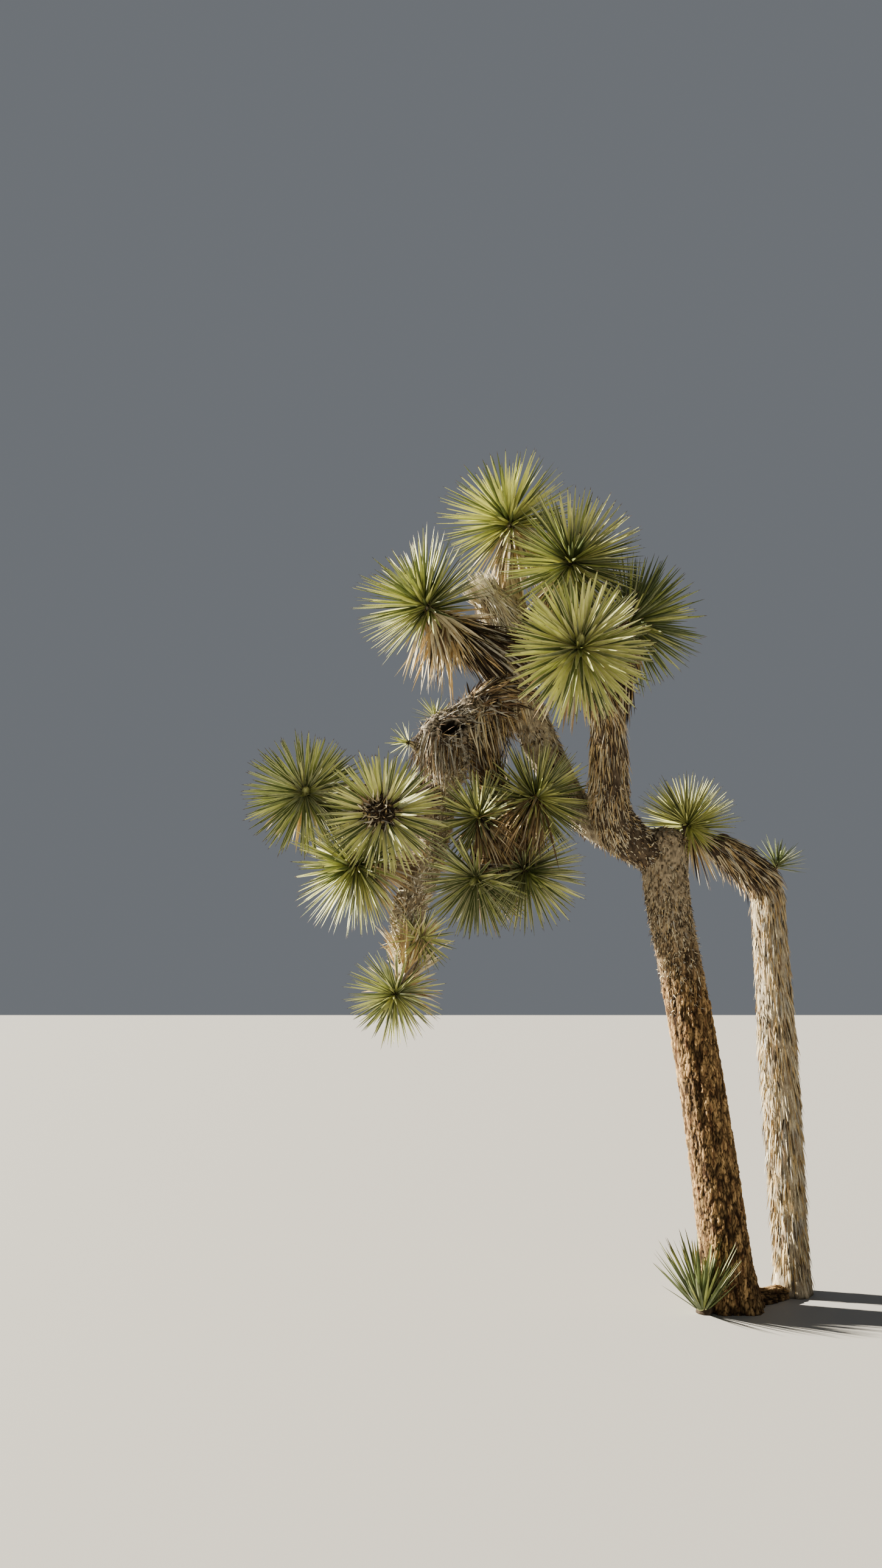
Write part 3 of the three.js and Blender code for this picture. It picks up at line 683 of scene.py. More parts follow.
def mottled_group():
    """Two colours blended by noise, darkened by a finer noise, with that finer noise as height."""
    inputs = dict(Vector="Vector", Light="Color", Dark="Color")
    inputs |= dict(Patches="Float", Grain="Float", Depth="Float")
    tree, given, out = group("mottled", inputs, dict(Color="Color", Height="Float"))
    broad = {"Vector": given["Vector"], "Scale": given["Patches"]}
    fine = {"Vector": given["Vector"], "Scale": given["Grain"], "Detail": 4.0, "Roughness": 0.65}
    patches = node(tree, "ShaderNodeTexNoise", broad).outputs["Fac"]
    grain = node(tree, "ShaderNodeTexNoise", fine).outputs["Fac"]
    colour = blend(tree, ramp(tree, patches, 0.35, 0.65), given["Dark"], given["Light"])
    darkest = node(tree, "ShaderNodeMath", {0: 1.0, 1: given["Depth"]}, operation="SUBTRACT")
    shade = ramp(tree, grain, 0.3, 0.62, darkest.outputs["Value"])
    shaded = node(tree, "ShaderNodeVectorMath", {0: colour, "Scale": shade}, operation="SCALE")
    tree.links.new(shaded.outputs["Vector"], out["Color"])
    tree.links.new(grain, out["Height"])
    return tree


mottled = mottled_group()


def new_material(name, roughness):
    """A material with its tree and its shader."""
    material = bpy.data.materials.new(name)
    material.use_nodes = True
    shader = material.node_tree.nodes["Principled BSDF"]
    shader.inputs["Roughness"].default_value = roughness
    return material, material.node_tree, shader


def mottled_finish(name, light, dark, patches, grain, depth, roughness, specular, stretch=1.0):
    """A material whose colour and bump come from the mottled group, on Object coordinates
    squeezed by stretch along Z so that the grain runs upright."""
    material, tree, shader = new_material(name, roughness)
    shader.inputs["Specular IOR Level"].default_value = specular
    place = node(tree, "ShaderNodeTexCoord").outputs["Object"]
    mapped = node(tree, "ShaderNodeMapping", {"Vector": place, "Scale": (1, 1, 1 / stretch)})
    values = dict(Vector=mapped.outputs["Vector"], Light=(*light, 1), Dark=(*dark, 1))
    values |= dict(Patches=patches, Grain=grain, Depth=depth)
    used = node(tree, "ShaderNodeGroup", values, node_tree=mottled).outputs
    bump = {"Strength": BUMP_STRENGTH, "Distance": BUMP_DISTANCE, "Height": used["Height"]}
    raised = node(tree, "ShaderNodeBump", bump)
    tree.links.new(used["Color"], shader.inputs["Base Color"])
    tree.links.new(raised.outputs["Normal"], shader.inputs["Normal"])
    return material


def bark_finish(name, light, dark, crack_colour, crack_width, upper=None):
    """Bark whose mottled plates darken into their cracks, by the skin's crack values, and on the
    trunk turn to the colour of matted fibre above the fibre line."""
    material = mottled_finish(name, light, dark, patches=42.0, grain=220.0, depth=0.55,
                              roughness=0.93, specular=0.12, stretch=2.5)
    tree = material.node_tree
    base = tree.nodes["Principled BSDF"].inputs["Base Color"]
    plate = base.links[0].from_socket
    if upper:
        place = node(tree, "ShaderNodeTexCoord").outputs["Object"]
        height = node(tree, "ShaderNodeSeparateXYZ", {"Vector": place}).outputs["Z"]
        plate = blend(tree, ramp(tree, height, *FIBRE_LINE), plate, (*upper, 1))
    crack = node(tree, "ShaderNodeAttribute", attribute_name="crack").outputs["Fac"]
    tree.links.new(blend(tree, ramp(tree, crack, 0, crack_width), (*crack_colour, 1), plate), base)
    return material


def leaf_finish(name, light, dark):
    """A waxy leaf: two close greens in soft patches, with a faint grain."""
    return mottled_finish(name, light, dark, patches=22.0, grain=320.0, depth=0.18,
                          roughness=0.46, specular=0.24)


def dry_finish(name, light, dark):
    """A dry, matt blade, streaked and weathered."""
    return mottled_finish(name, light, dark, patches=30.0, grain=300.0, depth=0.4,
                          roughness=0.85, specular=0.15, stretch=2.0)


# The palest green is partly painted sunlight and the darkest partly painted shade: besides the
# leaves' own range of colour, they stand for lit and shaded leaves.
leaf_materials = [
    leaf_finish("leaf_fresh_and_sunlit", (0.68, 0.675, 0.235), (0.53, 0.56, 0.17)),
    leaf_finish("leaf_green", (0.34, 0.375, 0.105), (0.24, 0.28, 0.075)),
    leaf_finish("leaf_deep_and_shaded", (0.12, 0.15, 0.05), (0.07, 0.095, 0.033)),
    leaf_finish("leaf_greyish", (0.32, 0.35, 0.18), (0.22, 0.25, 0.12)),
    leaf_finish("leaf_margin", (0.7, 0.66, 0.38), (0.58, 0.54, 0.28)),
    leaf_finish("leaf_spine", (0.13, 0.075, 0.04), (0.07, 0.04, 0.02)),
    leaf_finish("leaf_foot", (0.5, 0.52, 0.24), (0.38, 0.41, 0.17)),
    leaf_finish("leaf_bud", (0.6, 0.62, 0.27), (0.5, 0.52, 0.21)),
]

dry_materials = [
    dry_finish("dry_bleached", (0.84, 0.73, 0.5), (0.68, 0.57, 0.36)),
    dry_finish("dry_straw", (0.72, 0.53, 0.26), (0.54, 0.37, 0.16)),
    dry_finish("dry_grey", (0.56, 0.52, 0.44), (0.38, 0.35, 0.29)),
    dry_finish("dry_tan", (0.4, 0.28, 0.16), (0.27, 0.18, 0.095)),
    dry_finish("dry_brown", (0.18, 0.115, 0.065), (0.11, 0.068, 0.038)),
    dry_finish("dry_dark", (0.055, 0.038, 0.026), (0.028, 0.02, 0.014)),
    # A near-white that paints sunlight on the blades of the broken and hanging boughs.
    dry_finish("dry_bone_sunlit", (0.96, 0.9, 0.74), (0.82, 0.75, 0.58)),
]

CORK_CRACK = (0.01, 0.0055, 0.003)
UPPER_TRUNK = (0.34, 0.27, 0.175)
cork = bark_finish(
    "corky_bark", (0.66, 0.42, 0.178), (0.17, 0.083, 0.036), CORK_CRACK, 0.75, UPPER_TRUNK
)
matting = bark_finish(
    "matted_fibre", (0.13, 0.095, 0.062), (0.05, 0.035, 0.024), (0.014, 0.01, 0.007), 0.6
)
# The pale fibre's colour is partly painted sunlight: it is kept pale so that the hanging, back and
# broken boughs, which their neighbours shade, look sunlit.
pale_and_sunlit_matting = bark_finish(
    "pale_fibre_and_sunlit", (0.58, 0.49, 0.34), (0.34, 0.27, 0.18), (0.06, 0.045, 0.03), 0.6
)
old_wood = bark_finish(
    "old_head_wood", (0.4, 0.33, 0.24), (0.1, 0.08, 0.055), (0.008, 0.006, 0.004), 0.6
)

# How often each shade of dead leaf comes up, in the order of dry_materials. A short row leaves
# out the last one.
DRY_STRAW = (0.34, 0.32, 0.05, 0.16, 0.09, 0.04)
DRY_PALE = (0.36, 0.26, 0.18, 0.08, 0.04, 0.08)
# This row's large share of the last, near-white shade paints sunlight on the hanging bough.
SUNLIT_CHALK = (0.34, 0.12, 0.08, 0.03, 0.02, 0.03, 0.38)
DRY_GREY = (0.26, 0.08, 0.3, 0.12, 0.12, 0.12)
DRY_WARM = (0.14, 0.34, 0.02, 0.24, 0.16, 0.1)
BURNT = (0.3, 0.28, 0.06, 0.13, 0.1, 0.13)
CHARRED = (0.12, 0.03, 0.1, 0.03, 0.14, 0.58)
DRY_BROWN = (0.1, 0.14, 0.1, 0.2, 0.24, 0.22)
DRY_DARK = (0.14, 0.06, 0.05, 0.07, 0.18, 0.5)
DRY_DULL = (0.32, 0.12, 0.1, 0.13, 0.13, 0.2)
GILDED = (0.3, 0.42, 0.02, 0.14, 0.08, 0.04)
DRY_CREAM = (0.66, 0.24, 0.02, 0.04, 0.03, 0.01)
# This row's large share of the last, near-white shade paints sunlight on the broken bough.
SUNLIT_ASH = (0.3, 0.02, 0.1, 0.01, 0.01, 0.04, 0.52)
MATTED = (0.3, 0.06, 0.3, 0.08, 0.1, 0.16)
# This row's dark share is partly painted shade among the old head's fibres.
WEATHERED_AND_SHADED = (0.08, 0.03, 0.34, 0.13, 0.17, 0.25)
TORN = (0.24, 0.12, 0.1, 0.12, 0.16, 0.26)


# Limbs: x, y, z and radius at each place, in millimetres, as in the part's source
limbs = {
    "trunk": Limb([
        (0, 0, 0, 126), (-87, -20, 802, 110), (-152, -40, 1286, 104), (-212, -60, 1640, 105),
        (-262, -76, 1940, 108), (-288, -92, 2316, 112),
    ], spacing=0.0068, flare=26),
    "second_stem": Limb([
        (365, 240, 0, 76), (346, 210, 772, 88), (327, 185, 1274, 90), (306, 155, 1800, 80),
        (298, 130, 2075, 76),
    ], flare=20),
    "root_ridge": Limb([(96, 62, 6, 60), (203, 116, 6, 50), (310, 205, 6, 48)]),
    "second_arm": Limb([
        (296, 132, 1985, 66), (262, 122, 2072, 76), (156, 95, 2162, 76), (62, 70, 2226, 70),
        (0, 57, 2262, 60),
    ]),
    "front_bough": Limb([
        (-330, -98, 2180, 96), (-472, -125, 2266, 104), (-548, -150, 2385, 98),
        (-560, -190, 2617, 94), (-573, -256, 2840, 80), (-655, -385, 3045, 58),
    ]),
    "rear_bough": Limb([(-545, -200, 2840, 60), (-481, -115, 3044, 58), (-431, -60, 3250, 50)]),
    "back_bough": Limb([
        (-400, -34, 2225, 84), (-579, 58, 2337, 84), (-716, 80, 2469, 82), (-878, 75, 2789, 92),
        (-1012, 50, 3125, 92), (-998, 80, 3385, 74), (-1048, 118, 3790, 52),
    ]),
    "upper_front_bough": Limb([
        (-985, 68, 3360, 58), (-864, -20, 3475, 54), (-790, -100, 3605, 47),
    ]),
    "left_high_bough": Limb([
        (-1020, 54, 3248, 116), (-1192, -20, 3300, 84), (-1345, -76, 3368, 52),
        (-1436, -116, 3416, 44),
    ]),
    "broken_bough": Limb([(-1000, 68, 3370, 86), (-1100, 43, 3500, 84), (-1190, 20, 3616, 80)]),
    "old_bough": Limb([
        (-1040, 32, 3068, 84), (-1148, 1, 2991, 88), (-1230, -26, 2900, 100),
        (-1349, -88, 2806, 112), (-1495, -152, 2716, 96),
    ], spacing=0.01),
    "hanging_bough": Limb([
        (-1322, -44, 2720, 72), (-1391, -40, 2476, 74), (-1436, -4, 2277, 74), (-1496, 0, 2074, 76),
        (-1562, -20, 1918, 82), (-1574, -50, 1779, 70), (-1560, -86, 1640, 48),
        (-1584, -124, 1556, 40),
    ]),
    "drooping_bough": Limb([
        (-1206, 8, 2830, 68), (-1137, 49, 2594, 60), (-1074, 60, 2379, 56), (-1068, 54, 2290, 54),
        (-1074, 42, 2195, 51), (-1086, 30, 2100, 46),
    ]),
    "far_left_bough": Limb([(-1420, 6, 2545, 52), (-1677, 42, 2526, 46), (-1935, 10, 2508, 40)]),
    "left_low_bough": Limb([
        (-1480, -10, 2155, 44), (-1575, -40, 2140, 40), (-1660, -70, 2126, 38),
    ]),
}

# The CAD nodes that each limb's skin stands for, its points round, relief and material
skins = {
    "trunk": (["trunk"], 208, corky, cork, "trunk_bark"),
    "second_stem": (["second_stem"], 64, fibrous, pale_and_sunlit_matting, "pale_thatch"),
    "root_ridge": (["root_ridge"], 72, corky, cork, "trunk_bark"),
    "second_arm": (["second_stem_arm"], 48, fibrous, matting, "shaggy_bark"),
    "front_bough": (
        ["front_bough_lower", "front_bough_upper"], 72, fibrous, matting, "shaggy_bark",
    ),
    "rear_bough": (["rear_bough"], 48, fibrous, matting, "shaggy_bark"),
    "back_bough": (
        ["back_bough_lower", "back_bough_upper", "crown_bough"], 64, fibrous, pale_and_sunlit_matting,
        "shaggy_bark",
    ),
    "upper_front_bough": (["upper_front_bough"], 48, fibrous, matting, "shaggy_bark"),
    "left_high_bough": (["left_high_bough"], 64, fibrous, matting, "shaggy_bark"),
    "broken_bough": (["broken_bough"], 48, fibrous, pale_and_sunlit_matting, "pale_thatch"),
    "old_bough": (["old_bough", "old_head"], 110, gnarled, old_wood, "shaggy_bark"),
    "hanging_bough": (
        ["hanging_bough_upper", "hanging_bough_lower"], 64, fibrous, pale_and_sunlit_matting, "pale_thatch",
    ),
    "drooping_bough": (
        ["drooping_bough_upper", "drooping_bough_lower"], 48, fibrous, matting, "shaggy_bark",
    ),
    "far_left_bough": (["far_left_bough"], 40, fibrous, matting, "shaggy_bark"),
    "left_low_bough": (["left_low_bough"], 40, fibrous, pale_and_sunlit_matting, "pale_thatch"),
}

# Coats of dead blades. Span is the share of the limb that is clad, and a ramp below 1 thins the
# coat out towards the span's start. Lift is the angle off the surface in radians, hang pulls
# downwards, and back is -1 where the blades lie towards the limb's tip. Stray and roll are the
# spread of their directions and of their tilt. Scales are blunter blades with fewer faces.
coats = {
    "trunk": [
        dict(
            count=5200, span=(0.6, 1.0), ramp=0.7, lift=(0.1, 0.8), hang=(0.0, 0.4),
            length=(0.012, 0.03), width=(0.003, 0.006), shades=DRY_DULL, stray=0.5, scales=True,
        ),
        # Dark scales on the domed top paint the shade in the crotch under the boughs.
        dict(
            count=420, span=(0.96, 1.0), lift=(0.4, 1.5), hang=(0.0, 0.1), length=(0.015, 0.04),
            width=(0.005, 0.009), shades=DRY_DARK, stray=0.5, scales=True,
        ),
        dict(
            count=420, span=(0.66, 1.0), ramp=0.7, lift=(0.05, 0.25), hang=(0.2, 0.6),
            length=(0.04, 0.09), width=(0.0035, 0.006), shades=DRY_DARK, stray=0.2,
        ),
    ],
    "second_stem": [
        dict(
            count=4900, lift=(0.08, 0.28), hang=(0.1, 0.4), length=(0.045, 0.1),
            width=(0.005, 0.0085), shades=DRY_PALE, stray=0.09, roll=0.8,
        ),
        dict(
            count=300, lift=(0.2, 0.4), hang=(0.2, 0.5), length=(0.06, 0.11), width=(0.005, 0.009),
            shades=DRY_PALE,
        ),
    ],
    "second_arm": [
        dict(
            count=1900, span=(0.12, 0.99), lift=(0.06, 0.24), hang=(0.0, 0.25), length=(0.06, 0.12),
            width=(0.004, 0.008), shades=TORN, stray=0.12, roll=0.7,
        ),
    ],
    "front_bough": [
        dict(
            count=2500, span=(0.0, 0.45), lift=(0.1, 0.7), hang=(0.0, 0.4), length=(0.016, 0.036),
            width=(0.004, 0.0075), shades=DRY_DULL, stray=0.5, scales=True,
        ),
        dict(
            count=3800, span=(0.2, 0.97), ramp=0.8, lift=(0.04, 0.24), hang=(0.2, 0.6),
            length=(0.035, 0.1), width=(0.003, 0.0065), shades=BURNT, stray=0.16, roll=0.8,
        ),
    ],
    "rear_bough": [
        dict(
            count=420, lift=(0.04, 0.16), hang=(0.2, 0.5), length=(0.1, 0.2), width=(0.008, 0.014),
            shades=DRY_BROWN,
        ),
    ],
    "back_bough": [
        dict(
            count=3500, span=(0.0, 0.64), lift=(0.1, 0.7), hang=(0.1, 0.4), length=(0.018, 0.045),
            width=(0.0045, 0.0085), shades=MATTED, stray=0.4, scales=True,
        ),
        dict(
            count=1300, span=(0.55, 0.99), lift=(0.04, 0.2), hang=(0.2, 0.5), length=(0.08, 0.18),
            width=(0.007, 0.012), shades=DRY_CREAM,
        ),
    ],
    "upper_front_bough": [
        dict(
            count=320, lift=(0.04, 0.16), hang=(0.2, 0.5), length=(0.1, 0.2), width=(0.009, 0.015),
            shades=DRY_STRAW,
        ),
    ],
    "left_high_bough": [
        dict(
            count=1300, span=(0.02, 0.8), lift=(0.05, 0.35), hang=(0.0, 0.3), length=(0.14, 0.28),
            width=(0.007, 0.013), shades=CHARRED, roll=0.6, stray=0.14,
        ),
        dict(
            count=260, span=(0.6, 0.98), lift=(0.1, 0.45), hang=(0.0, 0.3), length=(0.18, 0.32),
            width=(0.011, 0.018), shades=CHARRED, roll=0.5,
        ),
    ],
    "broken_bough": [
        dict(
            count=1100, span=(0.0, 0.97), lift=(0.02, 0.2), hang=(0.0, 0.2), length=(0.07, 0.17),
            width=(0.004, 0.008), shades=SUNLIT_ASH, stray=0.2, roll=0.8,
        ),
        dict(
            count=260, span=(0.72, 1.0), back=-1, lift=(0.02, 0.2), hang=(0.0, 0.1),
            length=(0.05, 0.12), width=(0.006, 0.011), shades=SUNLIT_ASH, stray=0.14,
        ),
        dict(
            count=160, span=(0.9, 1.0), back=-1, lift=(0.2, 1.2), hang=(0.0, 0.1),
            length=(0.03, 0.07), width=(0.005, 0.009), shades=SUNLIT_ASH, stray=0.3,
        ),
    ],
    "old_bough": [
        dict(
            count=500, span=(0.0, 0.45), lift=(0.1, 0.4), hang=(0.4, 1.0), length=(0.08, 0.2),
            width=(0.006, 0.012), shades=DRY_BROWN, stray=0.15,
        ),
        dict(
            count=2000, span=(0.32, 1.0), lift=(0.02, 0.3), hang=(0.2, 1.0), length=(0.04, 0.1),
            width=(0.003, 0.007), shades=WEATHERED_AND_SHADED, stray=0.5,
        ),
    ],
    "hanging_bough": [
        dict(
            count=4500, span=(0.0, 0.92), lift=(0.1, 0.7), hang=(0.1, 0.5), length=(0.015, 0.04),
            width=(0.0045, 0.0085), shades=SUNLIT_CHALK, stray=0.45, scales=True,
        ),
    ],
    "drooping_bough": [
        dict(
            count=700, lift=(0.05, 0.3), hang=(0.3, 0.7), length=(0.08, 0.2), width=(0.007, 0.013),
            shades=DRY_BROWN, stray=0.12,
        ),
    ],
    "far_left_bough": [
        dict(
            count=420, lift=(0.05, 0.2), hang=(0.1, 0.4), length=(0.08, 0.18), width=(0.008, 0.014),
            shades=DRY_GREY,
        ),
    ],
    "left_low_bough": [
        dict(
            count=160, lift=(0.05, 0.3), hang=(0.1, 0.4), length=(0.08, 0.16), width=(0.009, 0.014),
            shades=DRY_STRAW,
        ),
    ],
}

# Skirts and fringes: the limb or head's stem that each hangs from, the share of it that is clad,
# the sweep of its blades with their outward spread and stray, and the CAD node it stands for
skirts = {
    "skirt_left_high": dict(
        on="left_high_bough", span=(0.76, 1.0), sweep=(0.1, -0.12, -1), spread=1.05, count=150,
        length=(0.16, 0.36), width=(0.01, 0.018), stray=0.22, shades=GILDED,
        nodes=["skirt_left_high"],
    ),
    "skirt_hanging": dict(
        on="hanging_bough", span=(0.84, 1.0), sweep=(0.1, 0, 1), spread=1.1, count=150,
        length=(0.13, 0.25), width=(0.01, 0.017), shades=DRY_CREAM, nodes=["skirt_hanging"],
    ),
    "skirt_drooping": dict(
        on="drooping_bough", span=(0.35, 0.85), sweep=(0, -0.25, -1), spread=0.9, count=260,
        length=(0.18, 0.32), width=(0.008, 0.014), shades=DRY_WARM, nodes=["skirt_drooping"],
    ),
    "skirt_middle_right": dict(
        on="rosette_middle_right", span=(0.3, 0.95), sweep=(-0.4, -0.9, -0.85), spread=0.5,
        count=300, length=(0.22, 0.38), width=(0.009, 0.015), shades=DRY_WARM,
        nodes=["rosette_middle_right"],
    ),
    "skirt_middle_left": dict(
        on="rosette_middle_left", span=(0.3, 0.95), sweep=(0.45, -0.9, -0.8), spread=0.5, count=260,
        length=(0.2, 0.34), width=(0.008, 0.014), shades=DRY_WARM, nodes=["rosette_middle_left"],
    ),
    "old_head_fringe": dict(
        on="old_bough", span=(0.72, 1.0), sweep=(-0.12, -0.05, -1), spread=0.5, count=620,
        length=(0.06, 0.2), width=(0.003, 0.0065), shades=WEATHERED_AND_SHADED, nodes=["old_head"],
    ),
    "old_bough_fringe": dict(
        on="old_bough", span=(0.14, 0.6), sweep=(0.08, -0.05, -1), spread=0.35, count=520,
        length=(0.12, 0.27), width=(0.005, 0.01), shades=TORN, nodes=["old_bough"],
    ),
    "arm_fringe": dict(
        on="second_arm", span=(0.35, 0.97), sweep=(0.55, -0.1, -0.75), spread=0.5, count=220,
        length=(0.07, 0.15), width=(0.005, 0.009), shades=TORN, nodes=["second_stem_arm"],
    ),
}

# How often each green comes up, in the order of leaf_materials. The mixes paint light and shade:
# a head that stands in sunlight gets mostly the palest green, one in shade mostly the darkest,
# and pale and dark leaves side by side in one head paint its lit and shaded leaves.
SUNLIT_GREENS = (0.62, 0.11, 0.23, 0.04)
FULL_SUN_GREENS = (0.76, 0.08, 0.12, 0.04)
SUNNY = (0.54, 0.16, 0.24, 0.06)
PLAIN = (0.34, 0.2, 0.36, 0.1)
SHADY = (0.05, 0.2, 0.53, 0.22)

# Heads of leaves. Start and bud are the ends of a head's stem and length is a leaf's, all in
# millimetres. Facing is the bud's direction, and on names the limbs that carry the head, which its
# leaves may touch. Wide is a leaf's width as a share of its length, lowest the lean of the lowest
# leaves in degrees, and droop and limp say how far the living and the dead ones hang. An opened
# head has flowers for a bud, and a bare one has no leaves towards that side.
# Greens is the mix of leaf colours, which paints how sunlit or shaded each head is.
heads = {
    "rosette_great": dict(
        start=(-655, -385, 3045), bud=(-736, -536, 3141), facing=(-0.05, -0.9, 0.12),
        on=("front_bough",), leaves=310, length=365, wide=0.062, droop=0.12, greens=SUNLIT_GREENS, dead=80,
    ),
    "rosette_upper_front": dict(
        start=(-790, -100, 3605), bud=(-724, -250, 3700), facing=(0.12, -0.72, 0.46),
        on=("upper_front_bough",), leaves=330, length=375, wide=0.052, greens=PLAIN,
    ),
    "rosette_summit": dict(
        start=(-1048, 118, 3790), bud=(-1052, 96, 4075), facing=(-0.36, -0.08, 0.9),
        on=("back_bough",), leaves=310, length=385, wide=0.05, greens=SUNLIT_GREENS, dead=120,
        dry=DRY_CREAM,
    ),
    "rosette_rear": dict(
        start=(-431, -60, 3250), bud=(-356, 14, 3440), facing=(0.66, 0.36, 0.42),
        on=("rear_bough",), leaves=300, length=370, wide=0.046, greens=SHADY,
    ),
    "rosette_left_high": dict(
        start=(-1436, -116, 3416), bud=(-1516, -200, 3500), facing=(-0.55, -0.4, 0.72),
        on=("left_high_bough",), leaves=260, length=370, lowest=98, greens=PLAIN, dead=60,
        dry=DRY_CREAM,
    ),
    "rosette_flowered": dict(
        start=(-1432, -82, 2500), bud=(-1690, -370, 2352), facing=(-0.15, -0.97, 0.02),
        on=("hanging_bough", "far_left_bough"), leaves=240, length=318, wide=0.056, opened=True,
        greens=SUNNY, dead=60,
    ),
    "rosette_far_left": dict(
        start=(-1935, 10, 2508), bud=(-2075, -220, 2476), facing=(0.14, -0.95, 0.06),
        on=("far_left_bough",), leaves=240, length=312, greens=SHADY,
    ),
    "rosette_left_low": dict(
        start=(-1640, -62, 2129), bud=(-1875, -170, 2108), facing=(-0.88, -0.42, -0.06),
        on=("left_low_bough",), leaves=240, length=335, droop=0.3, greens=PLAIN, dead=60,
    ),
    "rosette_middle_right": dict(
        start=(-1064, 20, 2420), bud=(-900, -150, 2478), facing=(0.5, -0.72, 0.38),
        on=("drooping_bough",), leaves=220, length=300, lowest=98, greens=PLAIN, dead=170,
        dry=DRY_WARM, limp=2.6,
    ),
    "rosette_middle_left": dict(
        start=(-1118, 10, 2465), bud=(-1222, -150, 2370), facing=(-0.35, -0.85, 0.22),
        on=("drooping_bough",), leaves=180, length=255, lowest=100, greens=PLAIN, dead=130,
        dry=DRY_WARM, limp=2.2,
    ),
    "rosette_lower_right": dict(
        start=(-1070, 14, 2140), bud=(-954, -140, 2062), facing=(0.52, -0.58, -0.6),
        on=("drooping_bough",), leaves=200, length=305, lowest=94, droop=0.2, bare=(-0.5, 0, 0.85),
        greens=SHADY, dead=130, dry=DRY_WARM, limp=1.6,
    ),
    "rosette_lower_middle": dict(
        start=(-1086, 30, 2100), bud=(-1234, -160, 2045), facing=(-0.25, -0.88, -0.28),
        on=("drooping_bough",), leaves=210, length=300, droop=0.16, bare=(0.6, 0, 0.8),
        greens=SHADY, dead=80, dry=DRY_WARM,
    ),
    "rosette_second_stem": dict(
        start=(0, 58, 2258), bud=(-152, -24, 2370), facing=(-0.4, -0.52, 0.72), on=("second_arm",),
        leaves=340, length=268, wide=0.038, lowest=94, greens=FULL_SUN_GREENS, dead=110, dry=TORN,
    ),
    "rosette_hanging": dict(
        start=(-1586, -124, 1556), bud=(-1640, -205, 1462), facing=(-0.4, -0.6, -0.62),
        on=("hanging_bough",), leaves=190, length=245, greens=PLAIN, dead=60,
    ),
    "sprig_hanging": dict(
        start=(-1580, -46, 1752), bud=(-1490, -150, 1758), facing=(0.4, -0.85, 0.05),
        on=("hanging_bough",), leaves=76, length=180, greens=SUNNY, dead=20,
    ),
    "sprig_second_stem": dict(
        start=(318, 118, 2100), bud=(354, 102, 2166), facing=(0.3, -0.12, 0.93), on=("second_arm",),
        leaves=70, length=160, wide=0.05, lowest=84, greens=SHADY, dead=10,
    ),
    "sprig_old_head_top": dict(
        start=(-1424, -96, 2820), bud=(-1434, -92, 2906), facing=(-0.1, -0.2, 0.96),
        on=("old_bough",), leaves=36, length=130, lowest=80, greens=PLAIN, dead=8,
    ),
    "sprig_old_head_side": dict(
        start=(-1496, -134, 2722), bud=(-1590, -138, 2748), facing=(-0.9, -0.3, 0.15),
        on=("old_bough",), leaves=34, length=115, lowest=84, greens=PLAIN, dead=8,
    ),
    "sprout_base": dict(
        start=(-150, -98, 10), bud=(-172, -116, 84), facing=(-0.1, -0.2, 0.97), on=("trunk",),
        leaves=90, length=325, lowest=44, droop=0, greens=SHADY, dead=0,
    ),
}


# Building
def build_skins():
    """Every limb's skin, each closed and standing for its CAD nodes."""
    for name, (nodes, around, relief, material, slot) in skins.items():
        skin(f"{name}_skin", limbs[name], around, relief, material, nodes)


def build_coats():
    """Every limb's thatch of dead blades, one piece to a limb, and the skirts and fringes."""
    for seed, (name, several) in enumerate(coats.items()):
        random = np.random.default_rng(COAT_SEED + seed)
        parts = [thatch(limbs[name], coat, random) for coat in several]
        blade_piece(f"{name}_thatch", parts, dry_materials, skins[name][0])
    for seed, (name, skirt) in enumerate(skirts.items()):
        parts = [fringe(skirt, np.random.default_rng(SKIRT_SEED + seed))]
        blade_piece(f"{name}_blades", parts, dry_materials, skirt["nodes"])


def build_heads():
    """Every head: its living leaves, the dead ones under them, and the dried flowers."""
    for seed, (name, head) in enumerate(heads.items()):
        living_head(name, head, LEAF_SEED + seed)
        if head.get("dead", FEW_DEAD) == 0:
            continue
        random = np.random.default_rng(DEAD_SEED + seed)
        parts = [dry_collar(head, random)]
        if head.get("opened"):
            parts.append(flower_mat(head, random))
        stem = stems[name]
        count = round(STEM_BLADES * stem.length)
        coat = dict(STEM_COAT, count=count, shades=head.get("dry", DRY_STRAW))
        parts.append(thatch(stem, coat, random))
        blade_piece(f"dead_leaves_{name}", parts, dry_materials, [name])


def build_head_stems():
    """The short stems that carry the heads, as limbs of their own, kept by the heads' names. A
    neck that lies too near to a stem's start, or too far behind it, is left out of its route."""
    for name, head in heads.items():
        axis = unit(np.array(head["facing"], float))
        start, bud = np.array(head["start"], float), np.array(head["bud"], float)
        neck = bud - axis * head["length"] * COLLAR
        radius = head["length"] * LEAFY_STEM
        places = [(*start, radius), (*neck, radius), (*bud, radius * BUD_RADIUS)]
        if np.linalg.norm(neck - start) <= NECK_NEAR or (neck - start) @ axis <= NECK_BEHIND:
            del places[1]
        stems[name] = Limb(places)
        skin(f"{name}_stem", stems[name], STEM_SIDES, fibrous, matting, [name])


stems = {}
build_skins()
build_head_stems()
build_coats()
build_heads()


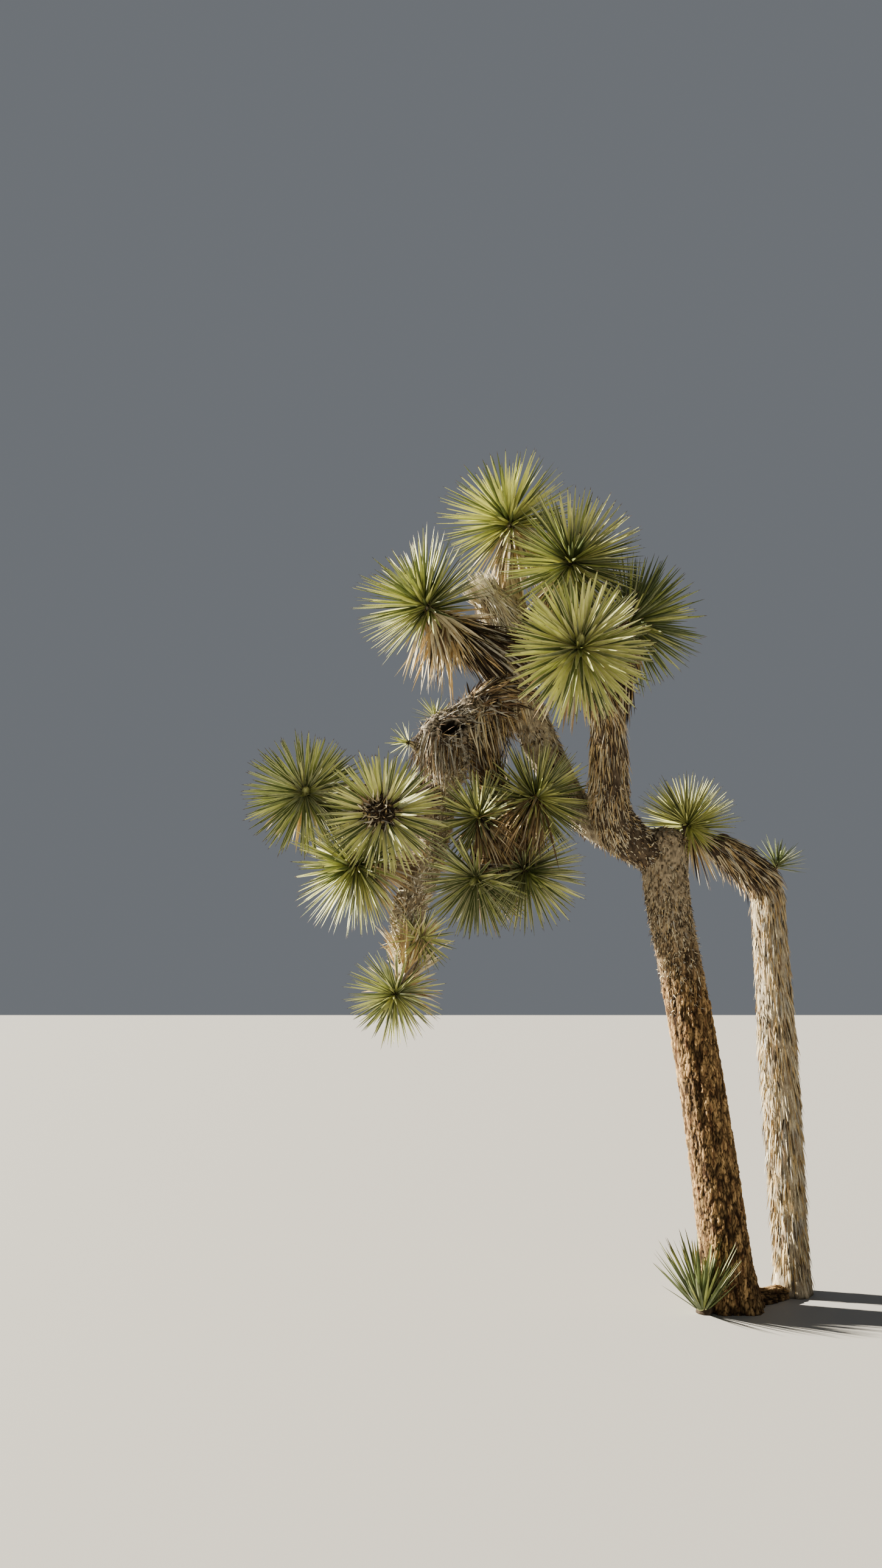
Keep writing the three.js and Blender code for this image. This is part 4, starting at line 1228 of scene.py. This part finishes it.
# Camera, floor and light
CAMERA_PLACE = (-1.4016, -5.9, 1.583)
CAMERA_PITCH = math.radians(9.33)
FOCAL_PIXELS = 1900
PHOTO_HEIGHT = 2576
SENSOR_HEIGHT = 36.0
FLOOR_HALF = 40.0
FLOOR_COLOUR = (0.36, 0.345, 0.32)
SUN_TOWARDS = (0.95, -0.25, -0.42)
SUN_STRENGTH = 29.0
SUN_SIZE = math.radians(1.5)
SUN_COLOUR = (1.0, 0.94, 0.8)
SKY_COLOUR = (0.78, 0.84, 0.92)
SKY_STRENGTH = 0.2


def build_camera():
    """The photograph's camera: at eye level, looking along +Y and a little up."""
    data = bpy.data.cameras.new("camera")
    data.sensor_fit = "VERTICAL"
    data.sensor_height = SENSOR_HEIGHT
    data.lens = FOCAL_PIXELS / PHOTO_HEIGHT * SENSOR_HEIGHT
    camera = place_in_scene("camera", data)
    camera.location = CAMERA_PLACE
    camera.rotation_euler = (math.pi / 2 + CAMERA_PITCH, 0, 0)
    bpy.context.scene.camera = camera


def build_floor():
    """A wide pale floor in matt paint."""
    mesh = bpy.data.meshes.new("floor")
    corners = [(x * FLOOR_HALF, y * FLOOR_HALF, 0) for x, y in ((-1, -1), (1, -1), (1, 1), (-1, 1))]
    mesh.from_pydata(corners, [], [(0, 1, 2, 3)])
    paint, _, shader = new_material("floor_paint", 0.9)
    shader.inputs["Base Color"].default_value = (*FLOOR_COLOUR, 1)
    mesh.materials.append(paint)
    place_in_scene("floor", mesh)


def build_light():
    """A warm sun, low at the left and a little behind, and a pale sky."""
    data = bpy.data.lights.new("sun", "SUN")
    data.energy = SUN_STRENGTH
    data.angle = SUN_SIZE
    data.color = SUN_COLOUR
    x, y, z = SUN_TOWARDS
    sun = place_in_scene("sun", data)
    sun.rotation_euler = (math.atan2(math.hypot(x, y), -z), 0, math.atan2(y, x) - math.pi / 2)
    world = bpy.data.worlds.new("studio")
    world.use_nodes = True
    background = world.node_tree.nodes["Background"]
    background.inputs["Color"].default_value = (*SKY_COLOUR, 1)
    background.inputs["Strength"].default_value = SKY_STRENGTH
    bpy.context.scene.world = world


build_camera()
build_floor()
build_light()
